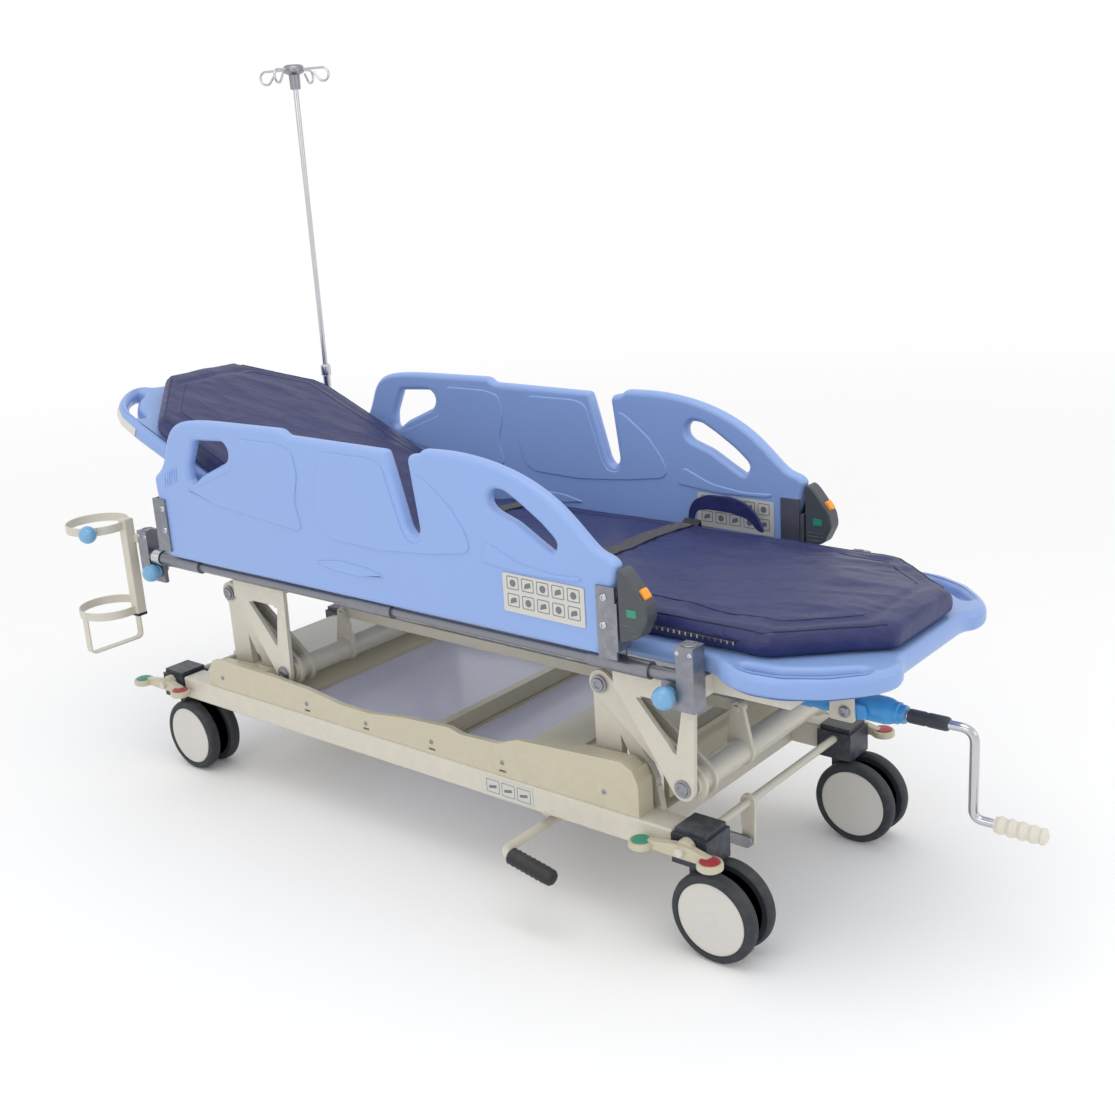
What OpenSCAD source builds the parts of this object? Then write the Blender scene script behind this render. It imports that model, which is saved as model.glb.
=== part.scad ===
// Stretcher trolley: a wheeled base, a parallel-arm lift, a bed frame with a raising backrest,
// two fold-down side rails, a drip pole and a bottle holder.
// Drawn in mm, +X toward the foot end, +Y toward the drip pole side, +Z up.

/* [Base] */
// half the distance between front and rear castors
castor_half_x = 750; // [600:10:900]
// half the distance between left and right castors
castor_half_y = 263; // [220:1:300]
// wheel radius
wheel_radius = 86; // [60:1:110]
// width of one wheel of a twin castor
wheel_width = 30; // [20:1:40]
// half the gap between the twin wheels
wheel_gap = 16; // [14:1:20]
// axle offset from the swivel axis
castor_trail = 44; // [30:1:60]
// axle radius
axle_radius = 8; // [6:0.5:12]
// castor housing side
cap_side = 76; // [60:1:90]
// castor housing height
cap_height = 68; // [50:1:90]
// base side tube width
base_tube_width = 60; // [40:1:80]
// base side tube height
base_tube_height = 52; // [40:1:60]
// height of the base tube underside
base_tube_z = 183; // [170:1:220]
// outer face of the base tubes from the middle
base_outer_y = 297; // [260:1:320]
// cover wall thickness
cover_wall = 4; // [3:0.5:8]
// height of the cover rim
cover_rim_z = 302; // [270:1:330]

/* [Lift] */
// foot knee position along the bed
knee_foot_x = 524; // [450:1:600]
// head knee position along the bed
knee_head_x = -558; // [-650:1:-450]
// knee height
knee_z = 457; // [400:1:500]
// arm reach along the bed with the bed lowest
arm_reach_x = 195; // [150:1:240]
// arm drop with the bed lowest
arm_drop_z = 152; // [100:1:200]
// torque tube radius
torque_radius = 25; // [18:1:32]
// pivot pin radius
pin_radius = 11; // [8:0.5:14]
// running clearance on the radius
run_clearance = 0.05; // [0.01:0.01:0.1]
// leg plane from the middle
leg_y = 222; // [190:1:240]
// leg plate thickness
leg_thick = 16; // [10:1:24]
// arm plate thickness
arm_plate = 8; // [5:1:12]
// gusset plane from the middle
gusset_y = 263; // [250:1:280]
// gusset plate thickness
gusset_thick = 10; // [6:1:14]
// sync lever length
lever_length = 84; // [60:1:110]
// sync lever plane
lever_y = -75; // [-120:1:-50]

/* [Bed] */
// underside of the deck
deck_z = 535; // [480:1:600]
// deck thickness
deck_thick = 40; // [25:1:60]
// half width of the deck between the side rails
deck_half_y = 268; // [230:1:285]
// foot edge of the deck
deck_foot_x = 1066; // [950:1:1150]
// backrest hinge position
hinge_x = -150; // [-250:1:-50]
// backrest length
back_length = 876; // [700:1:950]
// backrest angle at rest
back_angle = 22; // [0:1:60]
// hinge rod radius
hinge_radius = 8; // [6:0.5:12]
// mattress thickness
mattress_thick = 56; // [30:1:90]
// mattress half width
mattress_half_y = 258; // [220:1:270]
// bed tube width
bed_tube_width = 30; // [20:1:50]
// bed tube height
bed_tube_height = 38; // [25:1:50]
// bed tube plane from the middle
bed_tube_y = 236; // [200:1:250]
// crank and screw height
crank_z = 415; // [380:1:460]
// crank throw
crank_throw = 166; // [120:1:200]
// backrest lever length
push_lever = 140; // [110:1:160]

/* [Side rails] */
// side rail pivot plane
rail_pivot_y = 306; // [290:1:320]
// side rail pivot height
rail_pivot_z = 538; // [520:1:560]
// pivot tube radius
rail_tube_radius = 11; // [8:0.5:13]
// inner face of the rail panel
panel_inner_y = 304; // [300:1:320]
// rail panel thickness
panel_thick = 28; // [15:1:40]
// corner post position
post_x = 766; // [740:1:800]
// corner post side
post_side = 36; // [26:1:50]
// accessory socket radius
socket_radius = 10; // [8:0.5:12]

/* [Accessories] */
// drip pole outer tube radius
pole_radius = 9.5; // [7:0.5:14]
// drip pole rod radius
rod_radius = 6.5; // [4:0.5:9]
// top of the drip pole
pole_top_z = 1620; // [1300:10:1900]
// bottle ring radius
ring_radius = 70; // [45:1:80]
// bottle ring strip height
ring_height = 20; // [12:1:30]

/* [Hidden] */
$fn = 40;
gusset_foot_x = knee_foot_x + arm_reach_x;
gusset_head_x = knee_head_x + arm_reach_x;
torque_z = knee_z - arm_drop_z;
cap_z = 243 - cap_height;
brake_z = 218;
brake_radius = 8;
pump_z = 150;
deck_top = deck_z + deck_thick;
hinge_z = deck_z + deck_thick / 2;
base_tube_y = base_outer_y - base_tube_width / 2;
frame_z = deck_z - bed_tube_height;
post_y = 300;
knob_x = 730;
crank_end_x = 1273;
ring_x = -900;
ring_y = -346;
holder_x = -832;
knob_turn = -47;
x_low = ring_x - ring_radius - 3;
x_high = crank_end_x;
hook_reach = 98;
y_low = ring_y + (ring_radius + 27) * sin(knob_turn) - 21;
y_high = post_y + hook_reach * sin(110) + 3;
centre_x = (x_low + x_high) / 2;
centre_y = (y_low + y_high) / 2;

beige = [0.78, 0.76, 0.71];
cream = [0.74, 0.72, 0.62];
slate = [0.18, 0.2, 0.25];
steel = [0.48, 0.48, 0.51];
sky = [0.55, 0.69, 0.9];
navy = [0.16, 0.18, 0.4];

// moves everything so that the footprint middle is the origin
module placed() {
  translate([-centre_x, -centre_y, 0])
    children();
}

// a box given by its lowest and highest corners
module block(x0, x1, y0, y1, z0, z1) {
  translate([x0, y0, z0])
    cube([x1 - x0, y1 - y0, z1 - z0]);
}

// a cylinder along Y between two y values
module rod_y(x, z, y0, y1, r) {
  translate([x, y0, z])
    rotate([-90, 0, 0])
      cylinder(h = y1 - y0, r = r);
}

// a cylinder along X between two x values
module rod_x(y, z, x0, x1, r) {
  translate([x0, y, z])
    rotate([0, 90, 0])
      cylinder(h = x1 - x0, r = r);
}

// a plate in the XZ plane between two y values
module plate_y(y0, y1) {
  translate([0, y1, 0])
    rotate([90, 0, 0])
      linear_extrude(height = y1 - y0)
        children();
}

// a flat bar with round ends in a plane, from one point to another
module bar_2d(x0, z0, x1, z1, r0, r1) {
  ang = atan2(z1 - z0, x1 - x0);
  len = sqrt((x1 - x0) * (x1 - x0) + (z1 - z0) * (z1 - z0));
  translate([x0, z0]) {
    circle(r = r0);
    rotate(ang) {
      polygon([[0, -r0], [len, -r1], [len, r1], [0, r0]]);
      translate([len, 0])
        circle(r = r1);
    }
  }
}

module both_sides() {
  children();
  mirror([0, 1, 0])
    children();
}

module base_rails() {
  color(beige) placed() both_sides()
    block(-castor_half_x + cap_side / 2, castor_half_x - cap_side / 2,
      base_outer_y - base_tube_width, base_outer_y,
      base_tube_z, base_tube_z + base_tube_height);
}

module base_crossmembers() {
  inner = base_outer_y - base_tube_width;
  color(beige) placed() {
    for (x = [-640, -462, 300, 620])
      block(x - 25, x + 25, -inner, inner, base_tube_z, base_tube_z + 40);
    // bracket that carries the pump lever
    difference() {
      block(335, 375, -215, -165, 124, base_tube_z);
      rod_x(-190, pump_z, 320, 390, 10.5 + run_clearance);
    }
    block(320, 375, -215, -165, base_tube_z, base_tube_z + 14);
  }
}

// side profile of the cover, seen from the near side
module cover_profile() {
  polygon([[-612, 235], [-612, 270], [-590, 300], [-560, 306], [-380, 304], [-260, 298],
    [-150, 284], [-60, 284], [40, 298], [172, 306], [203, 298], [300, 302], [352, 322],
    [440, 328], [600, 338], [626, 326], [638, 300], [638, 235]]);
}

module base_cover() {
  slot = leg_thick / 2 + 4;
  color(cream) placed() difference() {
    union() {
      difference() {
        plate_y(-293, 293)
          cover_profile();
        block(-600, 626, -281, 281, 230, 400);
      }
      // head deck of the cover with its sloped well wall
      plate_y(-284, 284)
        polygon([[-602, 270], [-590, 292], [-420, 300], [-345, 247], [-345, 237], [-352, 237],
          [-424, 290], [-586, 282]]);
      // foot dome of the cover
      plate_y(-284, 284)
        polygon([[330, 237], [338, 237], [372, 308], [440, 318], [600, 326], [626, 310],
          [630, 318], [602, 334], [438, 326], [366, 317], [330, 247]]);
      // divider between the two wells
      block(92, 112, -284, 284, 237, 282);
    }
    // openings for the legs and the arms
    both_sides() {
      block(knee_foot_x - 40, knee_foot_x + 132, leg_y - slot - 14, leg_y + slot + 14, 200, 400);
      block(knee_head_x - 40, knee_head_x + 132, leg_y - slot - 14, leg_y + slot + 14, 200, 400);
    }
    // drain slots in the skirt
    for (x = [-265, -77, 117, 310])
      block(x - 9, x + 9, -300, 300, 243, 248);
  }
}

module tray_floor() {
  color([0.86, 0.85, 0.92]) placed() {
    block(-344, 91, -280, 280, 235, 238);
    block(113, 329, -280, 280, 235, 238);
  }
}

// one leg: upright, slanted brace and lug, in the XZ plane
module leg_shape(kx) {
  difference() {
    union() {
      bar_2d(kx, knee_z, kx + 6, 250, 27, 32);
      bar_2d(kx, knee_z, kx + 94, 280, 20, 16);
      polygon([[kx - 26, 223], [kx + 120, 223], [kx + 112, 270], [kx + 80, 300], [kx - 26, 262]]);
    }
    translate([kx + 52, 300])
      circle(r = 17);
  }
}

module lift_legs() {
  color(beige) placed() both_sides() {
    for (kx = [knee_foot_x, knee_head_x]) {
      plate_y(leg_y - leg_thick / 2, leg_y + leg_thick / 2)
        leg_shape(kx);
      rod_y(kx, knee_z, leg_y - 26, leg_y + 26, pin_radius);
      // foot block that joins the leg to the side tube
      block(kx - 26, kx + 118, leg_y - leg_thick / 2, base_outer_y - base_tube_width,
        223, 233);
    }
  }
}

module castor_cap_one() {
  difference() {
    union() {
      translate([-cap_side / 2, -cap_side / 2, cap_z])
        cube([cap_side, cap_side, cap_height - 10]);
      translate([-cap_side / 2 + 5, -cap_side / 2 + 5, cap_z + cap_height - 11])
        cube([cap_side - 10, cap_side - 10, 11]);
    }
    translate([0, 0, cap_z - 1])
      cylinder(h = 22, r = 12 + run_clearance);
    rod_y(0, brake_z, -60, 60, brake_radius + run_clearance);
  }
}

module castor_caps() {
  color(slate) placed() {
    for (sx = [-1, 1])
      for (sy = [-1, 1])
        translate([sx * castor_half_x, sy * castor_half_y, 0])
          castor_cap_one();
  }
}

module castor_fork() {
  color(slate) difference() {
    union() {
      translate([0, 0, cap_z - 2.5])
        cylinder(h = 2, r = 32);
      translate([0, 0, cap_z - 1.5])
        cylinder(h = 20.5, r = 12);
      block(-14, 14, -wheel_gap + 6, wheel_gap - 6, cap_z - 40, cap_z - 1.8);
      plate_y(-wheel_gap + 3, wheel_gap - 3)
        polygon([[-18, cap_z - 7], [-18, cap_z - 35], [castor_trail - 22, wheel_radius - 2],
          [castor_trail - 14, wheel_radius - 20], [castor_trail + 14, wheel_radius - 20],
          [castor_trail + 22, wheel_radius], [castor_trail + 16, wheel_radius + 18],
          [24, cap_z - 25], [22, cap_z - 7]]);
    }
    rod_y(castor_trail, wheel_radius, -40, 40, axle_radius + run_clearance);
  }
}

module castor_rims() {
  color([0.8, 0.79, 0.78]) {
    rod_y(castor_trail, wheel_radius, -wheel_gap - 20, wheel_gap + 20, axle_radius);
    both_sides() {
      rod_y(castor_trail, wheel_radius, wheel_gap, wheel_gap + wheel_width - 3,
        wheel_radius - 14);
      rod_y(castor_trail, wheel_radius, wheel_gap, wheel_gap + wheel_width,
        wheel_radius - 20);
    }
  }
}

module castor_tyres() {
  color(slate) both_sides() difference() {
    rod_y(castor_trail, wheel_radius, wheel_gap, wheel_gap + wheel_width - 2, wheel_radius);
    rod_y(castor_trail, wheel_radius, wheel_gap - 1, wheel_gap + wheel_width + 1,
      wheel_radius - 14);
  }
}

module at_castor(sx, sy) {
  placed() translate([sx * castor_half_x, sy * castor_half_y, 0])
    children();
}

module castor_fork_nf() { at_castor(1, -1) castor_fork(); }
module castor_rims_nf() { at_castor(1, -1) castor_rims(); }
module castor_tyres_nf() { at_castor(1, -1) castor_tyres(); }
module castor_fork_ff() { at_castor(1, 1) castor_fork(); }
module castor_rims_ff() { at_castor(1, 1) castor_rims(); }
module castor_tyres_ff() { at_castor(1, 1) castor_tyres(); }
module castor_fork_nh() { at_castor(-1, -1) castor_fork(); }
module castor_rims_nh() { at_castor(-1, -1) castor_rims(); }
module castor_tyres_nh() { at_castor(-1, -1) castor_tyres(); }
module castor_fork_fh() { at_castor(-1, 1) castor_fork(); }
module castor_rims_fh() { at_castor(-1, 1) castor_rims(); }
module castor_tyres_fh() { at_castor(-1, 1) castor_tyres(); }

module brake_shaft(x) {
  color(beige) placed() translate([x, 0, 0]) difference() {
    union() {
      rod_y(0, brake_z, -castor_half_y - 72, castor_half_y + 72, brake_radius);
      plate_y(-106, -98)
        bar_2d(0, brake_z, 0, 140, 16, 13);
    }
    rod_y(0, 140, -120, -80, 6 + run_clearance);
  }
}

module brake_pedals(x) {
  outer = castor_half_y + cap_side / 2 + 2;
  color(cream) placed() translate([x, 0, 0]) both_sides() difference() {
    union() {
      plate_y(outer, outer + 10)
        bar_2d(-62, brake_z - 4, 40, brake_z - 4, 13, 13);
      for (px = [-86, 60])
        translate([px, outer + 22, brake_z - 14])
          cylinder(h = 14, r = 24);
      block(-76, 50, outer, outer + 30, brake_z - 15, brake_z - 9);
    }
    rod_y(0, brake_z, outer - 5, outer + 32, brake_radius);
  }
}

module brake_shaft_foot() { brake_shaft(castor_half_x); }
module brake_shaft_head() { brake_shaft(-castor_half_x); }
module brake_pedals_foot() { brake_pedals(castor_half_x); }
module brake_pedals_head() { brake_pedals(-castor_half_x); }

module brake_link() {
  color(steel) placed() {
    plate_y(-116, -110)
      bar_2d(-castor_half_x, 140, castor_half_x, 140, 12, 12);
    for (x = [-castor_half_x, castor_half_x])
      rod_y(x, 140, -114, -94, 6);
  }
}

module pump_lever() {
  color(beige) placed() {
    rod_x(-190, pump_z, 328, 406, 10.5);
    rod_y(400, pump_z, -412, -184, 9.5);
    translate([397, -404, pump_z])
      rotate([0, 100, 0])
        cylinder(h = 60, r = 8.5);
  }
}

module pump_grip() {
  color([0.1, 0.1, 0.11]) placed()
    translate([397, -404, pump_z])
      rotate([0, 100, 0]) difference() {
        translate([0, 0, 20])
          cylinder(h = 106, r = 17);
        translate([0, 0, 10])
          cylinder(h = 50.5, r = 8.5);
      }
}

module arm_pair(kx) {
  gx = kx + arm_reach_x;
  both_sides() {
    for (y = [leg_y - 20, leg_y + 12])
      difference() {
        plate_y(y, y + arm_plate)
          bar_2d(kx, knee_z, gx, torque_z, 26, 34);
        rod_y(kx, knee_z, y - 2, y + arm_plate + 2, pin_radius + run_clearance);
      }
    rod_y(gx, torque_z, 249, gusset_y + 9, pin_radius);
  }
  rod_y(gx, torque_z, -250, 250, torque_radius);
  plate_y(lever_y - 5, lever_y + 5)
    difference() {
      bar_2d(gx, torque_z, gx - 4, torque_z + lever_length, 30, 14);
      translate([gx - 4, torque_z + lever_length])
        circle(r = 7 + run_clearance);
    }
}

module torque_arm_foot() {
  color(beige) placed() arm_pair(knee_foot_x);
}

module torque_arm_head() {
  color(beige) placed() arm_pair(knee_head_x);
}

module sync_bar() {
  z = torque_z + lever_length;
  color(beige) placed() {
    plate_y(lever_y + 6, lever_y + 14)
      bar_2d(gusset_head_x - 4, z, gusset_foot_x - 4, z, 12, 12);
    for (x = [gusset_head_x - 4, gusset_foot_x - 4])
      rod_y(x, z, lever_y - 10, lever_y + 12, 7);
  }
}

module bed_frame() {
  color(beige) placed() {
    both_sides()
      block(-770, 930, bed_tube_y - bed_tube_width / 2, bed_tube_y + bed_tube_width / 2,
        frame_z, deck_z - 1);
    for (x = [-755, -300, 150, 480, 760, 915])
      block(x - 15, x + 15, -bed_tube_y + 15, bed_tube_y - 15, frame_z, deck_z - 1);
    // hinge rod of the backrest and its ears
    rod_y(hinge_x, hinge_z, -248, 248, hinge_radius);
    both_sides()
      block(hinge_x - 12, hinge_x + 12, 229, 243, deck_z - 1, hinge_z + 12);
    // outriggers to the corner posts
    both_sides() {
      for (x = [-post_x, post_x])
        block(x - 14, x + 14, bed_tube_y, post_y - post_side / 2, frame_z, deck_z - 1);
    }
  }
}

module bed_gussets() {
  top = frame_z + 8;
  color(beige) placed() both_sides() {
    for (gx = [gusset_foot_x, gusset_head_x])
      difference() {
        union() {
          plate_y(gusset_y - gusset_thick / 2, gusset_y + gusset_thick / 2)
            difference() {
              union() {
                bar_2d(gx - 125, top - 20, gx, torque_z, 20, 24);
                bar_2d(gx + 12, top - 30, gx, torque_z, 18, 24);
                translate([gx - 145, top - 40])
                  square([175, 40]);
              }
              polygon([[gx - 96, top - 44], [gx + 4, top - 44], [gx - 12, torque_z + 62]]);
            }
          block(gx - 145, gx + 30, bed_tube_y + bed_tube_width / 2, gusset_y, frame_z, frame_z + 8);
        }
        rod_y(gx, torque_z, gusset_y - 9, gusset_y + 9, pin_radius + run_clearance);
      }
  }
}

// one corner post at the near side, foot end
module corner_post(sx) {
  difference() {
    union() {
      translate([sx * post_x - post_side / 2, -post_y - post_side / 2, 480])
        cube([post_side, post_side, 118]);
      // steel plate that carries the pull knob
      block(min(sx * 710, sx * 750), max(sx * 710, sx * 750), -post_y - 8, -post_y + 2,
        476, 548);
    }
    translate([sx * post_x, -post_y, 520])
      cylinder(h = 90, r = socket_radius);
    rod_y(sx * knob_x, 504, -post_y - 12, -post_y + 6, 7 + run_clearance);
  }
}

module corner_posts() {
  color(steel) placed() both_sides() {
    corner_post(1);
    corner_post(-1);
    difference() {
      rod_x(-rail_pivot_y, rail_pivot_z, -post_x + 4, post_x - 4, rail_tube_radius);
      for (x = [-post_x, post_x])
        translate([x, -post_y, 520])
          cylinder(h = 90, r = socket_radius);
    }
  }
}

// half outline of the foot end with its corner handle; x grows toward the end
module foot_half(len) {
  polygon([[0, -deck_half_y], [len - 276, -deck_half_y], [len - 238, -304],
    [len - 190, -318], [len - 130, -312], [len - 60, -278], [len - 4, -222],
    [len + 18, -180], [len + 16, -146], [len, -126], [len, 0], [0, 0]]);
}

// half outline of the head end; x grows toward the end
module head_half(len) {
  polygon([[0, -deck_half_y], [len - 150, -deck_half_y], [len - 90, -262],
    [len - 40, -240], [len - 2, -200], [len + 18, -160], [len + 16, -130], [len, -110],
    [len, 0], [0, 0]]);
}

module foot_outline(len) {
  difference() {
    union() {
      foot_half(len);
      mirror([0, 1])
        foot_half(len);
    }
    for (s = [-1, 1])
      polygon([[len - 214, s * 284], [len - 180, s * 294], [len - 130, s * 288],
        [len - 70, s * 256], [len - 24, s * 208], [len - 32, s * 196], [len - 84, s * 238],
        [len - 140, s * 268], [len - 206, s * 274]]);
  }
}

module head_outline(len) {
  difference() {
    union() {
      head_half(len);
      mirror([0, 1])
        head_half(len);
    }
    for (s = [-1, 1])
      polygon([[len - 120, s * 238], [len - 86, s * 236], [len - 52, s * 220],
        [len - 22, s * 186], [len - 8, s * 156], [len - 22, s * 152], [len - 44, s * 184],
        [len - 74, s * 208], [len - 120, s * 216]]);
  }
}

module deck_seat() {
  start = hinge_x + 22;
  color(sky) placed() difference() {
    translate([start, 0, deck_z])
      linear_extrude(height = deck_thick)
        foot_outline(deck_foot_x - start);
    both_sides()
      block(hinge_x - 20, hinge_x + 24, 226, 246, deck_z - 1, deck_top + 1);
    // pocket for the pusher lever when the backrest is flat
    block(hinge_x + 10, hinge_x + 46, -26, 26, deck_z - 1, deck_z + 26);
  }
}

// turns the backrest about its hinge; angle measured from flat
module raised(a) {
  translate([hinge_x, 0, hinge_z])
    rotate([0, a, 0])
      translate([-hinge_x, 0, -hinge_z])
        children();
}

module deck_back() {
  len = back_length - 18;
  color(sky) placed() difference() {
    union() {
      raised(back_angle) {
        translate([hinge_x, 0, deck_z])
          mirror([1, 0, 0])
            linear_extrude(height = deck_thick)
              head_outline(len);
        rod_y(hinge_x, hinge_z, -deck_half_y + 1, deck_half_y - 1, deck_thick / 2 - 0.6);
      }
      // lever pair under the backrest with the pusher pin
      raised(back_angle - 36) {
        for (y = [-21, 13])
          plate_y(y, y + 8)
            polygon([[hinge_x - 16, hinge_z], [hinge_x - 12, hinge_z - push_lever - 8],
              [hinge_x, hinge_z - push_lever - 14], [hinge_x + 12, hinge_z - push_lever - 8],
              [hinge_x + 16, hinge_z]]);
        rod_y(hinge_x, hinge_z - push_lever, -17, 17, 6);
      }
    }
    rod_y(hinge_x, hinge_z, -300, 300, hinge_radius + run_clearance);
    both_sides()
      block(hinge_x - 26, hinge_x + 26, 225, 247, hinge_z - 60, hinge_z + 60);
    raised(back_angle) both_sides()
      block(hinge_x - 34, hinge_x + 26, 224, 248, hinge_z - 30, hinge_z + 30);
  }
}

// mattress outline with cut corners; x grows toward the end
module pad_outline(len) {
  polygon([[0, -mattress_half_y], [len - 178, -mattress_half_y], [len, -96], [len, 96],
    [len - 178, mattress_half_y], [0, mattress_half_y]]);
}

module mattress_seat() {
  start = hinge_x + 30;
  color(navy) placed() difference() {
    translate([start, 0, deck_top])
      linear_extrude(height = mattress_thick)
        pad_outline(deck_foot_x - 14 - start);
    translate([start, -300, deck_top])
      rotate([0, 36, 0])
        translate([-200, 0, -60])
          cube([200, 600, 260]);
  }
}

module mattress_back() {
  color(navy) placed() raised(back_angle) difference() {
    translate([hinge_x - 26, 0, deck_top])
      mirror([1, 0, 0])
        linear_extrude(height = mattress_thick)
          pad_outline(back_length - 58);
    translate([hinge_x - 26, -300, deck_top])
      rotate([0, -38, 0])
        translate([0, 0, -60])
          cube([200, 600, 260]);
  }
}

module strap_over(x, w) {
  z = deck_top + mattress_thick;
  block(x - w / 2, x + w / 2, -mattress_half_y - 3, mattress_half_y + 3, z, z + 3);
  both_sides()
    block(x - w / 2, x + w / 2, mattress_half_y, mattress_half_y + 3, deck_top, z + 1);
}

module safety_straps() {
  color([0.1, 0.11, 0.14]) placed() {
    strap_over(398, 40);
    strap_over(-20, 40);
  }
}

module mattress_handles() {
  y = mattress_half_y + 4;
  z = deck_top + 36;
  color(navy) placed()
    for (s = [-1, 1])
      difference() {
        translate([495, s * y, z])
          rotate([90, 0, 0])
            cylinder(h = 4, r = 75, center = true);
        translate([495, s * y, z])
          rotate([90, 0, 0])
            cylinder(h = 8, r = 55, center = true);
        block(400, 590, s * y - 10, s * y + 10, deck_top - 200, deck_top + 8);
      }
}

module crank_gearbox() {
  color([0.27, 0.57, 0.84]) placed() difference() {
    union() {
      rod_x(0, crank_z, 790, 1002, 25);
      rod_x(0, crank_z, 745, 792, 19);
      rod_x(0, crank_z, 1000, 1016, 17);
      block(880, 950, -34, 34, crank_z - 12, crank_z + 12);
      both_sides()
        block(900, 930, 34, 42, crank_z - 20, frame_z);
    }
    rod_x(0, crank_z, 740, 962, 12 + run_clearance);
    rod_x(0, crank_z, 975, 1020, 9 + run_clearance);
  }
}

module push_rod() {
  pin_x = hinge_x + push_lever * sin(14);
  slot_top = hinge_z - push_lever * cos(36) + 10;
  color(steel) placed() difference() {
    union() {
      rod_x(0, crank_z, pin_x + 14, 905, 12);
      block(pin_x - 22, pin_x + 22, -9, 9, hinge_z - push_lever - 20, slot_top + 12);
    }
    block(pin_x - 11.5, pin_x + 8, -10, 10, hinge_z - push_lever - 10, slot_top);
  }
}

module crank_handle() {
  color(steel) placed() {
    rod_x(0, crank_z, 980, 1142, 9);
    rod_x(0, crank_z, 1022, 1096, 13);
    translate([1142, 0, crank_z])
      sphere(r = 9);
    translate([1142, 0, crank_z - crank_throw])
      cylinder(h = crank_throw, r = 9);
    translate([1142, 0, crank_z - crank_throw])
      sphere(r = 9);
    rod_x(0, crank_z - crank_throw, 1142, 1180, 9);
    rod_x(0, crank_z - crank_throw, 1180, 1262, 6);
  }
}

module crank_grip() {
  z = crank_z - crank_throw;
  color([0.88, 0.86, 0.8]) placed() difference() {
    union() {
      rod_x(0, z, 1181, crank_end_x, 15);
      for (x = [1190, 1212, 1234, 1256])
        rod_x(0, z, x, x + 12, 17);
    }
    rod_x(0, z, 1170, 1264, 6 + run_clearance);
  }
}

// outline of the side panel from its bottom tube up, in the XZ plane
module panel_outline() {
  difference() {
    polygon([[-648, 556], [-664, 730], [-662, 744], [-630, 768], [-612, 800], [-596, 840],
      [-572, 866], [-536, 880], [-459, 887], [-205, 890], [-187, 878], [98, 875], [104, 868],
      [148, 722], [160, 714], [172, 722], [156, 862], [164, 872], [188, 876], [201, 886],
      [280, 888], [362, 879], [428, 862], [475, 843], [517, 819], [551, 792], [580, 765],
      [604, 745], [632, 737], [644, 726], [636, 690], [600, 556]]);
    polygon([[358, 817], [370, 830], [396, 828], [431, 809], [478, 779], [508, 754],
      [513, 742], [502, 726], [467, 745], [420, 772], [370, 789], [358, 800]]);
    polygon([[-500, 840], [-400, 846], [-386, 834], [-384, 819], [-393, 803], [-485, 764],
      [-518, 742], [-532, 746], [-530, 780]]);
  }
}

// one side rail drawn on the near side
module rail_panel() {
  color(sky)
    plate_y(-panel_inner_y - panel_thick, -panel_inner_y)
      panel_outline();
}

module rail_frame() {
  y1 = -panel_inner_y;
  color(steel) difference() {
    union() {
      // sleeves on the pivot tube
      for (x = [[-700, -560], [-60, 60], [560, 690]])
        rod_x(-rail_pivot_y, rail_pivot_z, x[0], x[1], 16);
      // straps from the sleeves up the inner face of the panel
      for (x = [-640, -30, 590])
        block(x, x + 44, y1, y1 + 5, 544, 690);
      // end brackets that wrap onto the outer face
      block(600, 640, y1 - panel_thick - 5, y1 - panel_thick, 556, 688);
      block(-664, -628, y1 - panel_thick - 5, y1 - panel_thick, 572, 694);
      block(636, 644, y1 - panel_thick - 5, y1 + 5, 572, 660);
      block(-672, -666, y1 - panel_thick - 5, y1 + 5, 572, 694);
      block(-672, -640, y1, y1 + 5, 572, 694);
      block(-672, -660, y1 - panel_thick - 5, y1 - panel_thick, 572, 694);
    }
    rod_x(-rail_pivot_y, rail_pivot_z, -720, 720, rail_tube_radius + run_clearance);
  }
}

module rail_latch() {
  y0 = -panel_inner_y - panel_thick - 4;
  color([0.3, 0.32, 0.35]) difference() {
    plate_y(y0, y0 + 36)
      polygon([[644, 588], [688, 604], [706, 640], [700, 668], [662, 716], [650, 724],
        [644, 720]]);
    translate([676, y0 + 18, 668])
      rotate([0, -38, 0])
        cube([42, 22, 26], center = true);
  }
}

module rail_button() {
  y0 = -panel_inner_y - panel_thick - 4;
  color([0.96, 0.6, 0.15])
    translate([676, y0 + 18, 668])
      rotate([0, -38, 0])
        translate([8, 0, 0])
          cube([36, 20, 24], center = true);
}

module far_side() {
  placed() mirror([0, 1, 0])
    children();
}

module rail_frame_near() { placed() rail_frame(); }
module rail_panel_near() { placed() rail_panel(); }
module rail_latch_near() { placed() rail_latch(); }
module rail_button_near() { placed() rail_button(); }
module rail_frame_far() { far_side() rail_frame(); }
module rail_panel_far() { far_side() rail_panel(); }
module rail_latch_far() { far_side() rail_latch(); }
module rail_button_far() { far_side() rail_button(); }

// pull knob with its plunger, drawn at the near side
module pull_knob(sx) {
  color([0.45, 0.62, 0.84]) {
    rod_y(sx * knob_x, 504, -post_y - 14, -post_y + 14, 7);
    rod_y(sx * knob_x, 504, -post_y - 24, -post_y - 9, 15);
    translate([sx * knob_x, -post_y - 30, 504])
      sphere(r = 21);
  }
}

module knob_near_foot() { placed() pull_knob(1); }
module knob_far_foot() { far_side() pull_knob(1); }
module knob_near_head() { placed() pull_knob(-1); }
module knob_far_head() { far_side() pull_knob(-1); }

module pole_tube() {
  color([0.7, 0.71, 0.74]) placed() translate([-post_x, post_y, 0]) difference() {
    union() {
      translate([0, 0, 520])
        cylinder(h = 360, r = pole_radius);
      translate([0, 0, 598])
        cylinder(h = 14, r = 15);
      translate([0, 0, 864])
        cylinder(h = 28, r = 13);
    }
    translate([0, 0, 540])
      cylinder(h = 500, r = rod_radius + run_clearance);
  }
}

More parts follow.
